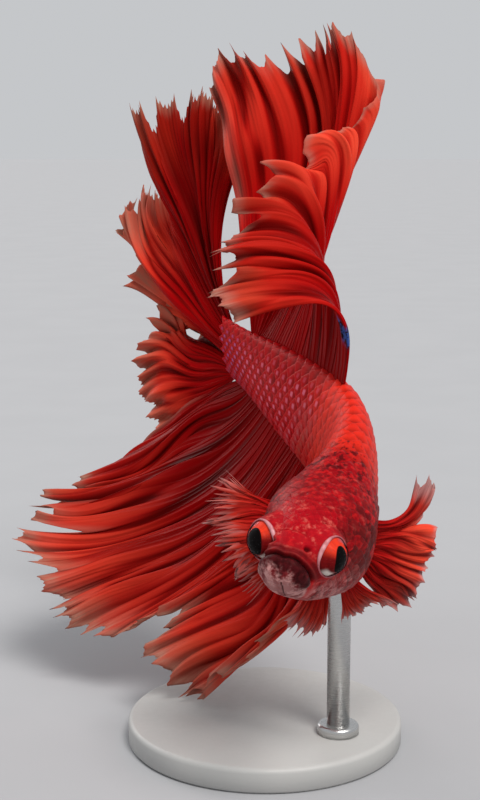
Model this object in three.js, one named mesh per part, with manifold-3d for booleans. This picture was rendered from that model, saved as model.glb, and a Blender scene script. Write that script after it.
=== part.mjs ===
// A long-finned male betta fish (Betta splendens), life size, as a still museum model on a display stand.
// Millimetres, +Z up, the snout towards -Y. The origin is the middle of the underside of the stand's base.
//
// The body is a tube of elliptical sections along a spine that lies in the fish's own frame:
// x to the fish's left, y towards the tail, z towards the back. "s" is the distance along the spine from
// the snout, and "angle" runs round a section: 0 is the left side, 90 the back, 180 the right, -90 the belly.

import * as THREE from "three";
import { mergeVertices } from "three/addons/utils/BufferGeometryUtils.js";
import Module from "manifold-3d";

const wasm = await Module();
wasm.setup();

// ---- driving dimensions ----
const BODY_LENGTH = 44; // snout to the root of the tail fin
const SEAM = 0.3; // clearance between neighbouring pieces
const FIN_THICKNESS = 0.56;

// How the fish hangs in space: the snout's place, and the turns about its own three axes.
const SNOUT = new THREE.Vector3(0.45, -20, 19.4);
const PITCH = 14; // head down
const YAW = -21.5;
const ROLL = 9.5; // back leaning to the fish's left
const BEND = 48; // the tail swings this far to the fish's right
const BEND_START = 8.5;
const BEND_END = 29;
const TWIST = 13; // the tail stalk turns upright again
const TWIST_START = 16;

// Half sizes of the sections: [s, half size].
const BACK_HEIGHT = [
  [0, 0.4], [0.6, 1.3], [2, 2.1], [5, 3.2], [9, 3.8], [14, 4.8],
  [20, 5.35], [27, 5.2], [34, 4.5], [40, 3.6], [44, 3.2],
];
const BELLY_DEPTH = [
  [0, 0.5], [0.5, 1.4], [2, 2.6], [5, 4.2], [9, 5.3], [14, 5.6],
  [20, 5.3], [27, 4.3], [34, 3.7], [40, 3.1], [44, 3.0],
];
const HALF_WIDTH = [
  [0, 0.8], [0.5, 1.4], [2, 2.1], [5, 3.1], [8, 4.05], [11, 3.3], [14, 2.5],
  [18, 2.1], [23, 2.15], [28, 2.0], [35, 1.5], [41, 0.95], [44, 0.7],
];

// The lower half of the head is fuller than an ellipse: its sines and cosines are raised to this power.
const JOWL_POWER = 0.86;
const JOWL_FADE = [9, 14]; // the fullness dies away between these places

// Where the body is parted.
const GILL_SEAM = 9.6; // the gill cover's hind edge at the back and belly
const GILL_BULGE = 1.8; // and how much further back it reaches on the sides
const TAIL_SEAM = 33;

// How finely the body is meshed: faces round it, and rings along each length.
const RING_FACES = 28;
const HEAD_RINGS = 11;
const TRUNK_RINGS = 14;
const TAIL_RINGS = 5;
const WHOLE_RINGS = 24;

// Eyes.
const EYE_RADIUS = 1.5;
const EYE_S = 3.5;
const EYE_SIDE = 2.08;
const EYE_UP = 0.65;
const EYE_SOCKET_CLEARANCE = 0.2;
const EYE_FACES = [16, 10]; // round the ball and from top to bottom

// The mouth opens upward: its slit runs back and down from above the snout's tip to the corners.
const MOUTH_FRONT = [0.5, 2.0]; // [s, up]
const MOUTH_CORNER = [1.6, -0.3];
const JAW_BACK = [4.4, -6]; // the jaw's hind edge runs from the mouth's corner to here
const MOUTH_SLIT = 0.3;
const SLIT_REACH = 7; // the slit is cut this far to each side of the middle

// The stand.
const BASE_RADIUS = 11;
const BASE_HEIGHT = 2;
const BASE_CHAMFER = 0.4;
const BASE_FACES = 40;
const ROD_RADIUS = 0.9;
const ROD_S = 16.2; // where the rod meets the belly
const ROD_SPARE = 2; // the rod is cut from a bar that runs this far into the belly
const ROD_FACES = 16;

// Fins. "from" and "to" are the ends of the root line on the body as [s, angle]. A guide ray is
// [place along the root 0..1, tip left, tip back, tip up, bow left, bow back, bow up]: the tip from the ray's
// root, and how far the middle of the ray bows off the straight line, along the world's axes.
const FINS = {
  dorsal_fin: {
    from: [22.4, 90], to: [38.5, 90], columns: 46, rows: 5,
    pleats: 7, pleatDepth: 0.6, points: 23, pointDepth: 0.07, colour: 0xc8201a,
    rays: [
      [0.00, -8.0, -4.0, 5.9, 2.8, -0.5, 3.5],
      [0.07, -9.6, -4.0, 7.6, 3.3, -0.5, 3.9],
      [0.13, -9.1, -3.9, 8.6, 3.6, -0.5, 4.0],
      [0.19, -8.6, -3.6, 9.8, 3.4, -0.5, 4.0],
      [0.27, -6.7, -3.2, 11.6, 2.7, 0.0, 4.0],
      [0.35, -5.9, -2.5, 12.8, 2.4, 0.0, 4.2],
      [0.42, -3.9, -1.8, 13.8, 2.6, 0.0, 4.5],
      [0.48, -2.8, -1.0, 15.1, 3.0, 0.0, 4.5],
      [0.53, -1.0, 0.0, 15.4, 2.8, 0.0, 4.9],
      [0.555, 0.9, 0.5, 15.6, 2.7, 0.0, 5.0],
      [0.58, 1.6, 0.9, 17.0, 2.7, 0.0, 4.9],
      [0.64, 4.3, 1.6, 18.2, 2.6, 0.0, 4.4],
      [0.70, 6.7, 2.5, 19.0, 2.5, 0.5, 4.0],
      [0.76, 8.1, 3.5, 22.4, 1.9, 0.0, 3.0],
      [0.82, 6.8, 4.0, 26.1, 2.6, 0.5, 1.0],
      [0.86, 5.1, 4.6, 26.3, 3.2, 0.5, 1.0],
      [0.90, 2.6, 5.4, 25.1, 3.9, 0.7, 1.0],
      [0.94, -0.4, 6.0, 24.2, 2.9, 0.9, 1.4],
      [0.975, -2.9, 6.1, 24.6, 1.8, 1.0, 1.3],
      [1.00, -3.6, 6.0, 21.0, 0.2, 1.0, 1.8],
    ],
  },
  tail_fin: {
    from: [43.7, 80], to: [43.7, -80], columns: 46, rows: 5,
    pleats: 8, pleatDepth: 0.5, points: 23, pointDepth: 0.07, colour: 0xd2301e,
    rays: [
      [0.00, 3.0, 3.0, 16.5, -2.3, 0.0, 0.5],
      [0.08, 1.0, 4.0, 19.2, -1.9, 0.0, 0.0],
      [0.18, -2.8, 6.0, 21.2, -1.2, 0.0, 0.0],
      [0.28, -6.2, 7.5, 21.0, -0.8, 0.0, 0.0],
      [0.38, -10.0, 9.0, 20.4, -0.8, 0.5, 0.0],
      [0.46, -7.2, 11.0, 13.8, -1.7, 0.0, -0.2],
      [0.52, -9.6, 12.0, 14.8, -2.2, 0.0, -0.3],
      [0.58, -11.4, 12.0, 13.6, -2.2, 0.5, -0.3],
      [0.66, -11.0, 12.0, 10.8, -1.2, 1.0, 0.0],
      [0.72, -9.4, 11.0, 7.4, -0.5, 1.0, 0.4],
      [0.78, -5.0, 9.0, 2.6, -0.5, 1.0, 0.6],
      [0.84, -7.7, 9.0, 3.6, -0.5, 1.0, 0.5],
      [0.90, -10.0, 8.0, 1.0, -0.5, 1.0, 1.0],
      [0.95, -9.8, 7.0, -3.2, -0.5, 1.0, 0.5],
      [1.00, -6.3, 6.0, -7.7, -0.5, 1.0, -0.6],
    ],
  },
  anal_fin: {
    from: [20, -90], to: [42.9, -90], columns: 46, rows: 6,
    pleats: 9, pleatDepth: 0.5, points: 23, pointDepth: 0.07, colour: 0xb8141a,
    rays: [
      [0.00, -3.0, -3.0, -7.5, 0.5, 0.5, -0.5],
      [0.05, -5.7, -3.0, -10.0, 1.0, 0.5, -0.8],
      [0.10, -7.9, -3.0, -12.7, 1.4, 0.5, -1.2],
      [0.15, -9.6, -2.9, -15.3, 1.8, 0.5, -1.5],
      [0.20, -11.9, -2.0, -17.2, 2.2, 0.5, -1.8],
      [0.25, -13.6, -1.3, -15.9, 2.2, 0.5, -1.9],
      [0.29, -14.2, -0.6, -15.2, 2.0, 0.5, -1.7],
      [0.33, -11.5, 0.0, -13.1, 1.2, 0.5, -1.2],
      [0.37, -14.3, 0.0, -14.9, 1.2, 0.5, -0.9],
      [0.42, -17.3, 0.2, -16.1, 1.4, 0.5, -0.8],
      [0.47, -19.5, 0.9, -16.5, 1.6, 0.5, -1.4],
      [0.52, -20.9, 1.0, -14.7, 1.6, 0.5, -2.4],
      [0.57, -21.6, 1.1, -13.0, 1.4, 0.5, -3.8],
      [0.63, -23.2, 1.8, -11.0, 1.0, 0.5, -4.8],
      [0.68, -22.0, 2.1, -10.2, 1.0, 0.6, -4.6],
      [0.75, -20.4, 2.2, -9.8, 1.2, 0.9, -3.4],
      [0.80, -20.9, 2.7, -9.4, 1.3, 1.0, -2.6],
      [0.86, -17.0, 3.5, -10.2, 1.3, 1.0, -1.3],
      [0.92, -15.2, 4.0, -9.5, 1.0, 1.0, 0.0],
      [1.00, -11.3, 4.0, -8.5, 0.8, 1.0, 1.3],
    ],
  },
  pectoral_fin_right: {
    from: [11, 180], to: [11, 222], columns: 20, rows: 4,
    pleats: 4, pleatDepth: 0.2, points: 10, pointDepth: 0.1, colour: 0xd8432c,
    rays: [
      [0.00, -4.5, 1.5, 1.9, -0.4, 0.5, -0.8],
      [0.10, -5.0, 1.1, 2.3, -0.3, 0.5, -0.6],
      [0.22, -6.0, 0.7, 2.0, -0.1, 0.5, 0.0],
      [0.36, -6.5, 0.3, 1.3, 0.0, 0.4, 0.5],
      [0.50, -6.8, -0.2, 0.5, 0.0, 0.2, 0.5],
      [0.62, -6.4, -0.6, -0.2, 0.0, 0.0, 0.5],
      [0.72, -5.8, -0.8, -1.2, 0.0, -0.3, 0.5],
      [0.82, -5.2, -1.0, -2.1, 0.0, -0.5, 0.4],
      [1.00, -3.8, -1.0, -4.2, 0.0, -0.5, 0.0],
    ],
  },
  pectoral_fin_left: {
    from: [12, -5], to: [12.8, -60], columns: 20, rows: 4,
    pleats: 3, pleatDepth: 0.2, points: 10, pointDepth: 0.08, colour: 0xe04028,
    rays: [
      [0.00, 3.3, 2.0, 2.7, 0.7, 0.5, -1.2],
      [0.12, 4.5, 2.0, 3.1, 0.8, 0.5, -1.2],
      [0.22, 4.6, 2.0, 2.1, 0.8, 0.5, -0.8],
      [0.30, 3.6, 2.0, 0.0, 0.4, 0.0, -0.2],
      [0.40, 5.1, 1.8, 0.2, 0.0, 0.0, 0.2],
      [0.55, 5.5, 1.4, -1.3, 0.0, 0.0, 0.3],
      [0.68, 5.0, 1.5, -2.2, 0.0, 0.0, 0.2],
      [0.82, 4.7, 1.5, -3.4, 0.0, 0.0, 0.0],
      [0.92, 4.1, 1.5, -4.6, 0.0, 0.0, -0.1],
      [1.00, 2.6, 1.5, -4.1, 0.0, 0.0, -0.3],
    ],
  },
  pelvic_fin_left: {
    from: [10.2, -55], to: [11.8, -74], columns: 14, rows: 4,
    pleats: 2, pleatDepth: 0.15, points: 7, pointDepth: 0.1, colour: 0xcc2a20,
    rays: [
      [0.00, 3.6, 0.5, -2.4, -0.4, 0.0, 0.0],
      [0.25, 2.6, 0.6, -2.6, -0.4, 0.0, -0.3],
      [0.50, 1.6, 0.8, -3.2, -0.4, 0.0, -0.3],
      [0.75, 0.8, 1.1, -3.9, -0.2, 0.0, -0.2],
      [1.00, 0.3, 1.5, -4.7, 0.0, 0.0, 0.0],
    ],
  },
  pelvic_fin_right: {
    from: [10.2, -112], to: [11.8, -96], columns: 14, rows: 4,
    pleats: 2, pleatDepth: 0.15, points: 7, pointDepth: 0.1, colour: 0xcc2a20,
    rays: [
      [0.00, -1.5, -1.5, -3.6, 0.8, 0.0, 0.0],
      [0.25, -1.4, -1.5, -4.7, 0.8, 0.0, 0.0],
      [0.50, -0.8, -1.0, -4.9, 0.8, 0.0, 0.0],
      [0.75, -0.3, -0.8, -4.9, 0.4, 0.0, 0.0],
      [1.00, 0.0, -0.6, -4.2, 0.1, 0.0, 0.0],
    ],
  },
};
const FIN_ROOT_DEPTH = 0.9; // fins start at this share of the section, and the body's grown shape trims them
const NORMAL_STEP = 0.004; // how far apart the places are that a fin's normal is worked out from

// ---- smooth curves ----

// A smooth curve through rows [x, a, b, ...]: cubic pieces whose slopes average the two sides'.
function smoothCurve(rows, x) {
  const last = rows.length - 1;
  const at = Math.min(Math.max(x, rows[0][0]), rows[last][0]);
  let i = 0;
  while (i < last - 1 && at >= rows[i + 1][0]) i += 1;
  const chord = (j, k) => (rows[j + 1][k] - rows[j][k]) / (rows[j + 1][0] - rows[j][0]);
  const slope = (j, k) => {
    if (j === 0) return chord(0, k);
    if (j === last) return chord(last - 1, k);
    return (chord(j - 1, k) + chord(j, k)) / 2;
  };
  const span = rows[i + 1][0] - rows[i][0];
  const t = (at - rows[i][0]) / span;
  const values = [];
  for (let k = 1; k < rows[0].length; k += 1) {
    const rise = 2 * t ** 3 - 3 * t ** 2 + 1;
    const lead = (t ** 3 - 2 * t ** 2 + t) * span;
    const trail = (t ** 3 - t ** 2) * span;
    const ends = rise * rows[i][k] + (1 - rise) * rows[i + 1][k];
    values.push(ends + lead * slope(i, k) + trail * slope(i + 1, k));
  }
  return values;
}

function easeInOut(t) {
  const c = THREE.MathUtils.clamp(t, 0, 1);
  return c * c * (3 - 2 * c);
}

// ---- the spine and the body's surface ----

const STEP = 0.1; // between the spine's points
const heading = (s) => THREE.MathUtils.degToRad(BEND) * easeInOut((s - BEND_START) / (BEND_END - BEND_START));

// The spine's points every STEP, added up from its heading.
function layOutSpine() {
  const points = [new THREE.Vector3()];
  for (let n = 0; n * STEP < BODY_LENGTH; n += 1) {
    const mid = heading((n + 0.5) * STEP);
    const ahead = new THREE.Vector3(-Math.sin(mid), Math.cos(mid), 0);
    points.push(points[n].clone().addScaledVector(ahead, STEP));
  }
  return points;
}
const SPINE = layOutSpine();

const FISH_TO_WORLD = new THREE.Matrix4()
  .makeRotationY(THREE.MathUtils.degToRad(ROLL))
  .multiply(new THREE.Matrix4().makeRotationZ(THREE.MathUtils.degToRad(YAW)))
  .multiply(new THREE.Matrix4().makeRotationX(THREE.MathUtils.degToRad(PITCH)))
  .setPosition(SNOUT);

// The section's place and axes at s, in the fish's own frame.
function sectionAt(s) {
  const n = THREE.MathUtils.clamp(s / STEP, 0, SPINE.length - 1.001);
  const whole = Math.floor(n);
  const place = SPINE[whole].clone().lerp(SPINE[whole + 1], n - whole);
  const turn = heading(s);
  const along = new THREE.Vector3(-Math.sin(turn), Math.cos(turn), 0);
  place.addScaledVector(along, s - THREE.MathUtils.clamp(s, 0, BODY_LENGTH));
  const twist = THREE.MathUtils.degToRad(TWIST) * easeInOut((s - TWIST_START) / (BODY_LENGTH - TWIST_START));
  const left = new THREE.Vector3(Math.cos(turn), Math.sin(turn), 0);
  const up = new THREE.Vector3(0, 0, 1);
  const leftTwisted = left.clone().multiplyScalar(Math.cos(twist)).addScaledVector(up, Math.sin(twist));
  const upTwisted = up.clone().multiplyScalar(Math.cos(twist)).addScaledVector(left, -Math.sin(twist));
  return { place, along, left: leftTwisted, up: upTwisted };
}

// A point in the world from its offsets to the left and up in the section at s.
function pointAt(s, left, up) {
  const section = sectionAt(s);
  return section.place
    .addScaledVector(section.left, left)
    .addScaledVector(section.up, up)
    .applyMatrix4(FISH_TO_WORLD);
}

// The section's outline at a turn round it, for half sizes of 1.
function roundness(s, turn) {
  const fading = easeInOut((s - JOWL_FADE[0]) / (JOWL_FADE[1] - JOWL_FADE[0]));
  const power = Math.sin(turn) < 0 ? THREE.MathUtils.lerp(JOWL_POWER, 1, fading) : 1;
  return [Math.cos(turn), Math.sin(turn)].map((value) => Math.sign(value) * Math.abs(value) ** power);
}

// A point at a share of the way out to the skin, grown outward by "grow".
function bodyPoint(s, angle, share = 1, grow = 0) {
  const turn = THREE.MathUtils.degToRad(angle);
  const height = smoothCurve(Math.sin(turn) >= 0 ? BACK_HEIGHT : BELLY_DEPTH, s)[0];
  const width = smoothCurve(HALF_WIDTH, s)[0];
  const [across, upward] = roundness(s, turn);
  return pointAt(s, (width + grow) * share * across, (height + grow) * share * upward);
}

// ---- solids ----

// Moves every corner of a closed geometry through a function of its coordinates.
function reshape(geometry, move) {
  const position = geometry.getAttribute("position");
  const corner = new THREE.Vector3();
  for (let i = 0; i < position.count; i += 1) {
    const moved = move(corner.fromBufferAttribute(position, i));
    position.setXYZ(i, moved.x, moved.y, moved.z);
  }
  return geometry;
}

function solid(geometry) {
  const bare = geometry.clone();
  bare.deleteAttribute("normal");
  bare.deleteAttribute("uv");
  const merged = mergeVertices(bare, 1e-4);
  const mesh = new wasm.Mesh({
    numProp: 3,
    vertProperties: merged.getAttribute("position").array,
    triVerts: new Uint32Array(merged.index.array),
  });
  return new wasm.Manifold(mesh);
}

// The largest of the pieces that a cut leaves.
function largestPiece(cut) {
  return cut.decompose().sort((a, b) => b.volume() - a.volume())[0];
}

function geometryOf(cut) {
  const mesh = cut.getMesh();
  const geometry = new THREE.BufferGeometry();
  geometry.setAttribute("position", new THREE.BufferAttribute(mesh.vertProperties, 3));
  geometry.setIndex(new THREE.BufferAttribute(mesh.triVerts, 1));
  geometry.computeVertexNormals();
  return geometry;
}

// A length of the body. "front" and "back" give s at each angle round the section.
function bodyLength(front, back, rings, grow = 0) {
  const tube = new THREE.CylinderGeometry(1, 1, 1, RING_FACES, rings);
  return solid(reshape(tube, (corner) => {
    const share = Math.min(Math.hypot(corner.x, corner.z), 1);
    const angle = THREE.MathUtils.radToDeg(Math.atan2(corner.z, corner.x));
    const s = THREE.MathUtils.lerp(front(angle), back(angle), corner.y + 0.5);
    return bodyPoint(s, angle, share, grow);
  }));
}

// The gill cover's edge: furthest back at mid-height on each side.
const gillEdge = (angle) => GILL_SEAM + GILL_BULGE * Math.cos(THREE.MathUtils.degToRad(angle)) ** 2;

// ---- fins ----

const pleatWave = (fin, u, v) => fin.pleatDepth * v * Math.sin(2 * Math.PI * fin.pleats * u);

// The margin's points: rays reach out, and the web between them falls back.
const marginReach = (fin, u) => 1 - fin.pointDepth * (0.5 - 0.5 * Math.cos(2 * Math.PI * fin.points * u));

function finMiddle(fin, u, v) {
  const s = THREE.MathUtils.lerp(fin.from[0], fin.to[0], u);
  const angle = THREE.MathUtils.lerp(fin.from[1], fin.to[1], u);
  const [tipLeft, tipBack, tipUp, bowLeft, bowBack, bowUp] = smoothCurve(fin.rays, u);
  return bodyPoint(s, angle, FIN_ROOT_DEPTH)
    .addScaledVector(new THREE.Vector3(tipLeft, tipBack, tipUp), v)
    .addScaledVector(new THREE.Vector3(bowLeft, bowBack, bowUp), 4 * v * (1 - v));
}

function finNormal(surface, u, v) {
  const before = Math.max(u - NORMAL_STEP, 0);
  const after = Math.min(u + NORMAL_STEP, 1);
  const across = surface(after, v).sub(surface(before, v));
  const outward = surface(u, v + NORMAL_STEP).sub(surface(u, v - NORMAL_STEP));
  return across.cross(outward).normalize();
}

function finSurface(fin, u, v) {
  const smooth = (a, b) => finMiddle(fin, a, b);
  return smooth(u, v).addScaledVector(finNormal(smooth, u, v), pleatWave(fin, u, v));
}

function finSolid(fin) {
  const sheet = new THREE.BoxGeometry(1, 1, 1, fin.columns, fin.rows, 1);
  const surface = (u, v) => finSurface(fin, u, v);
  return solid(reshape(sheet, (corner) => {
    const u = corner.x + 0.5;
    const v = (corner.y + 0.5) * marginReach(fin, u);
    return surface(u, v).addScaledVector(finNormal(surface, u, v), corner.z * FIN_THICKNESS);
  }));
}

// ---- head ----

// A bar with a square end-on shape through the head, from one [s, up] to another.
function slit(from, to) {
  const along = new THREE.Vector2(to[0] - from[0], to[1] - from[1]);
  const bar = new THREE.BoxGeometry(2 * SLIT_REACH, along.length() + MOUTH_SLIT, MOUTH_SLIT);
  const angle = along.angle();
  return solid(reshape(bar, (corner) => {
    const run = corner.y + along.length() / 2;
    const s = from[0] + run * Math.cos(angle) - corner.z * Math.sin(angle);
    const up = from[1] + run * Math.sin(angle) + corner.z * Math.cos(angle);
    return pointAt(s, corner.x, up);
  }));
}

function eyeBall(side, radius) {
  const centre = pointAt(EYE_S, side * EYE_SIDE, EYE_UP);
  const ball = new THREE.SphereGeometry(radius, ...EYE_FACES);
  ball.translate(centre.x, centre.y, centre.z);
  return solid(ball);
}

// The head without its sockets, parted by the mouth's slit into the skull and the lower jaw.
function headPieces() {
  const whole = bodyLength(() => 0, (angle) => gillEdge(angle) - SEAM / 2, HEAD_RINGS);
  const jawCut = slit(MOUTH_FRONT, MOUTH_CORNER).add(slit(MOUTH_CORNER, JAW_BACK));
  const pieces = whole.subtract(jawCut).decompose().sort((a, b) => b.volume() - a.volume());
  const sockets = [1, -1].map((side) => eyeBall(side, EYE_RADIUS + EYE_SOCKET_CLEARANCE));
  return { skull: largestPiece(pieces[0].subtract(sockets[0]).subtract(sockets[1])), jaw: pieces[1] };
}

// ---- stand ----

function standBase() {
  const edge = BASE_RADIUS - BASE_CHAMFER;
  const profile = [
    new THREE.Vector2(0, 0),
    new THREE.Vector2(BASE_RADIUS, 0),
    new THREE.Vector2(BASE_RADIUS, BASE_HEIGHT - BASE_CHAMFER),
    new THREE.Vector2(edge, BASE_HEIGHT),
    new THREE.Vector2(0, BASE_HEIGHT),
  ];
  return new THREE.LatheGeometry(profile, BASE_FACES).rotateX(Math.PI / 2);
}

// The rod stands straight up from the base and ends just under the belly, which trims it.
function standRod(grownBody) {
  const top = bodyPoint(ROD_S, -90);
  const length = top.z + ROD_SPARE - BASE_HEIGHT - SEAM;
  const rod = new THREE.CylinderGeometry(ROD_RADIUS, ROD_RADIUS, length, ROD_FACES);
  rod.rotateX(Math.PI / 2);
  rod.translate(top.x, top.y, BASE_HEIGHT + SEAM + length / 2);
  return largestPiece(solid(rod).subtract(grownBody));
}

// ---- the model ----

const model = new THREE.Group();

function addPiece(name, geometry, colour, roughness, metalness = 0) {
  const material = new THREE.MeshStandardMaterial({ color: colour, roughness, metalness });
  const mesh = new THREE.Mesh(geometry, material);
  mesh.name = name;
  model.add(mesh);
}

const grownBody = bodyLength(() => -SEAM, () => BODY_LENGTH + SEAM, WHOLE_RINGS, SEAM);
const head = headPieces();
const trunk = bodyLength((angle) => gillEdge(angle) + SEAM / 2, () => TAIL_SEAM - SEAM / 2, TRUNK_RINGS);
const tailStalk = bodyLength(() => TAIL_SEAM + SEAM / 2, () => BODY_LENGTH, TAIL_RINGS);

addPiece("head", geometryOf(head.skull), 0xb01818, 0.45);
addPiece("lower_jaw", geometryOf(head.jaw), 0x7a2a30, 0.5);
addPiece("trunk", geometryOf(trunk), 0xc8281c, 0.45);
addPiece("tail_stalk", geometryOf(tailStalk), 0xb01c20, 0.45);
addPiece("eye_left", geometryOf(eyeBall(1, EYE_RADIUS)), 0x401010, 0.1);
addPiece("eye_right", geometryOf(eyeBall(-1, EYE_RADIUS)), 0x401010, 0.1);
for (const [name, fin] of Object.entries(FINS)) {
  addPiece(name, geometryOf(largestPiece(finSolid(fin).subtract(grownBody))), fin.colour, 0.4);
}
addPiece("stand_base", standBase(), 0x20201f, 0.5);
addPiece("stand_rod", geometryOf(standRod(grownBody)), 0x9a9a98, 0.3, 1);

export default model;
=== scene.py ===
"""A long-finned male betta fish, life size, as a still museum model on a plain display stand.

Lengths are in millimetres in the frame of the CAD model (+Z up, the snout towards -Y) and become metres
where a mesh is made. The body is a tube of elliptical sections along a bent spine: "s" is the distance along
the spine from the snout, and "angle" runs round a section: 0 is the fish's left, 90 its back, -90 its belly.
"""

import math

import bpy
import numpy as np
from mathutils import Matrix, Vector


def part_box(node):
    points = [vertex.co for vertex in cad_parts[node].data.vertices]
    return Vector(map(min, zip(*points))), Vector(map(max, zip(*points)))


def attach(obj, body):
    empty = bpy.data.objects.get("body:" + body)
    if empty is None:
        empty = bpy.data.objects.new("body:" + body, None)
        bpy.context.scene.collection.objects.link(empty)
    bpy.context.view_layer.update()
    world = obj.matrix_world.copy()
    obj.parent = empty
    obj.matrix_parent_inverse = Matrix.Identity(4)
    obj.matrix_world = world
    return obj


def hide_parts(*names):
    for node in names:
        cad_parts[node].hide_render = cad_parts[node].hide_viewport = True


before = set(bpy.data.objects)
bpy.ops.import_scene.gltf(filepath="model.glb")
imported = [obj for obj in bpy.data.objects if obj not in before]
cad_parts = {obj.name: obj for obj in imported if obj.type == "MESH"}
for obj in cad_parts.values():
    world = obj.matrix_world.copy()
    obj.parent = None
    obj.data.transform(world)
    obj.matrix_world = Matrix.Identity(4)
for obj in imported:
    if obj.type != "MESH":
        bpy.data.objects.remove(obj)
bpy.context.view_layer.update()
MM = 0.001

# ---- the body's form, as in the CAD model ----

BODY_LENGTH = 44
SNOUT = np.array([0.45, -20, 19.4])
PITCH, YAW, ROLL = 14, -21.5, 9.5
BEND, BEND_START, BEND_END = 48, 8.5, 29
TWIST, TWIST_START = 13, 16
BACK_HEIGHT = [
    [0, 0.4], [0.6, 1.3], [2, 2.1], [5, 3.2], [9, 3.8], [14, 4.8],
    [20, 5.35], [27, 5.2], [34, 4.5], [40, 3.6], [44, 3.2],
]
BELLY_DEPTH = [
    [0, 0.5], [0.5, 1.4], [2, 2.6], [5, 4.2], [9, 5.3], [14, 5.6],
    [20, 5.3], [27, 4.3], [34, 3.7], [40, 3.1], [44, 3],
]
HALF_WIDTH = [
    [0, 0.8], [0.5, 1.4], [2, 2.1], [5, 3.1], [8, 4.05], [11, 3.3], [14, 2.5],
    [18, 2.1], [23, 2.15], [28, 2], [35, 1.5], [41, 0.95], [44, 0.7],
]
GILL_SEAM, GILL_BULGE = 9.6, 1.8
EYE_RADIUS, EYE_S, EYE_SIDE, EYE_UP = 1.5, 3.5, 2.08, 0.65
MOUTH_FRONT, MOUTH_CORNER = np.array([0.5, 2]), np.array([1.6, -0.3])
JOWL_POWER, JOWL_FADE = 0.86, (9, 14)

# ---- the stand ----

BASE_RADIUS, BASE_HEIGHT, BASE_CHAMFER = 11, 2, 0.4
ROD_RADIUS, ROD_S = 0.9, 16.2

# ---- the skin and its scales ----

COAT_DEPTH = 0.12  # the skin lies this far inside the CAD solids
SKIN_RINGS, SKIN_SPOKES = 380, 224
SNOUT_RINGS = 24  # rings of the skin across the blunt end of the snout
SCALE_THICKNESS = 0.03
SCALE_OVERLAP = 1.1  # a scale's breadth as a share of its place in the ring
SCALE_LIFT = 0.09  # how steeply a scale rises from its root to its free edge

# ---- the fins, as in the CAD model ----
# "root" holds the ends of the root line as (s, angle). A guide ray is [place along the root 0..1,
# tip left, tip back, tip up, bow left, bow back, bow up].

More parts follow.
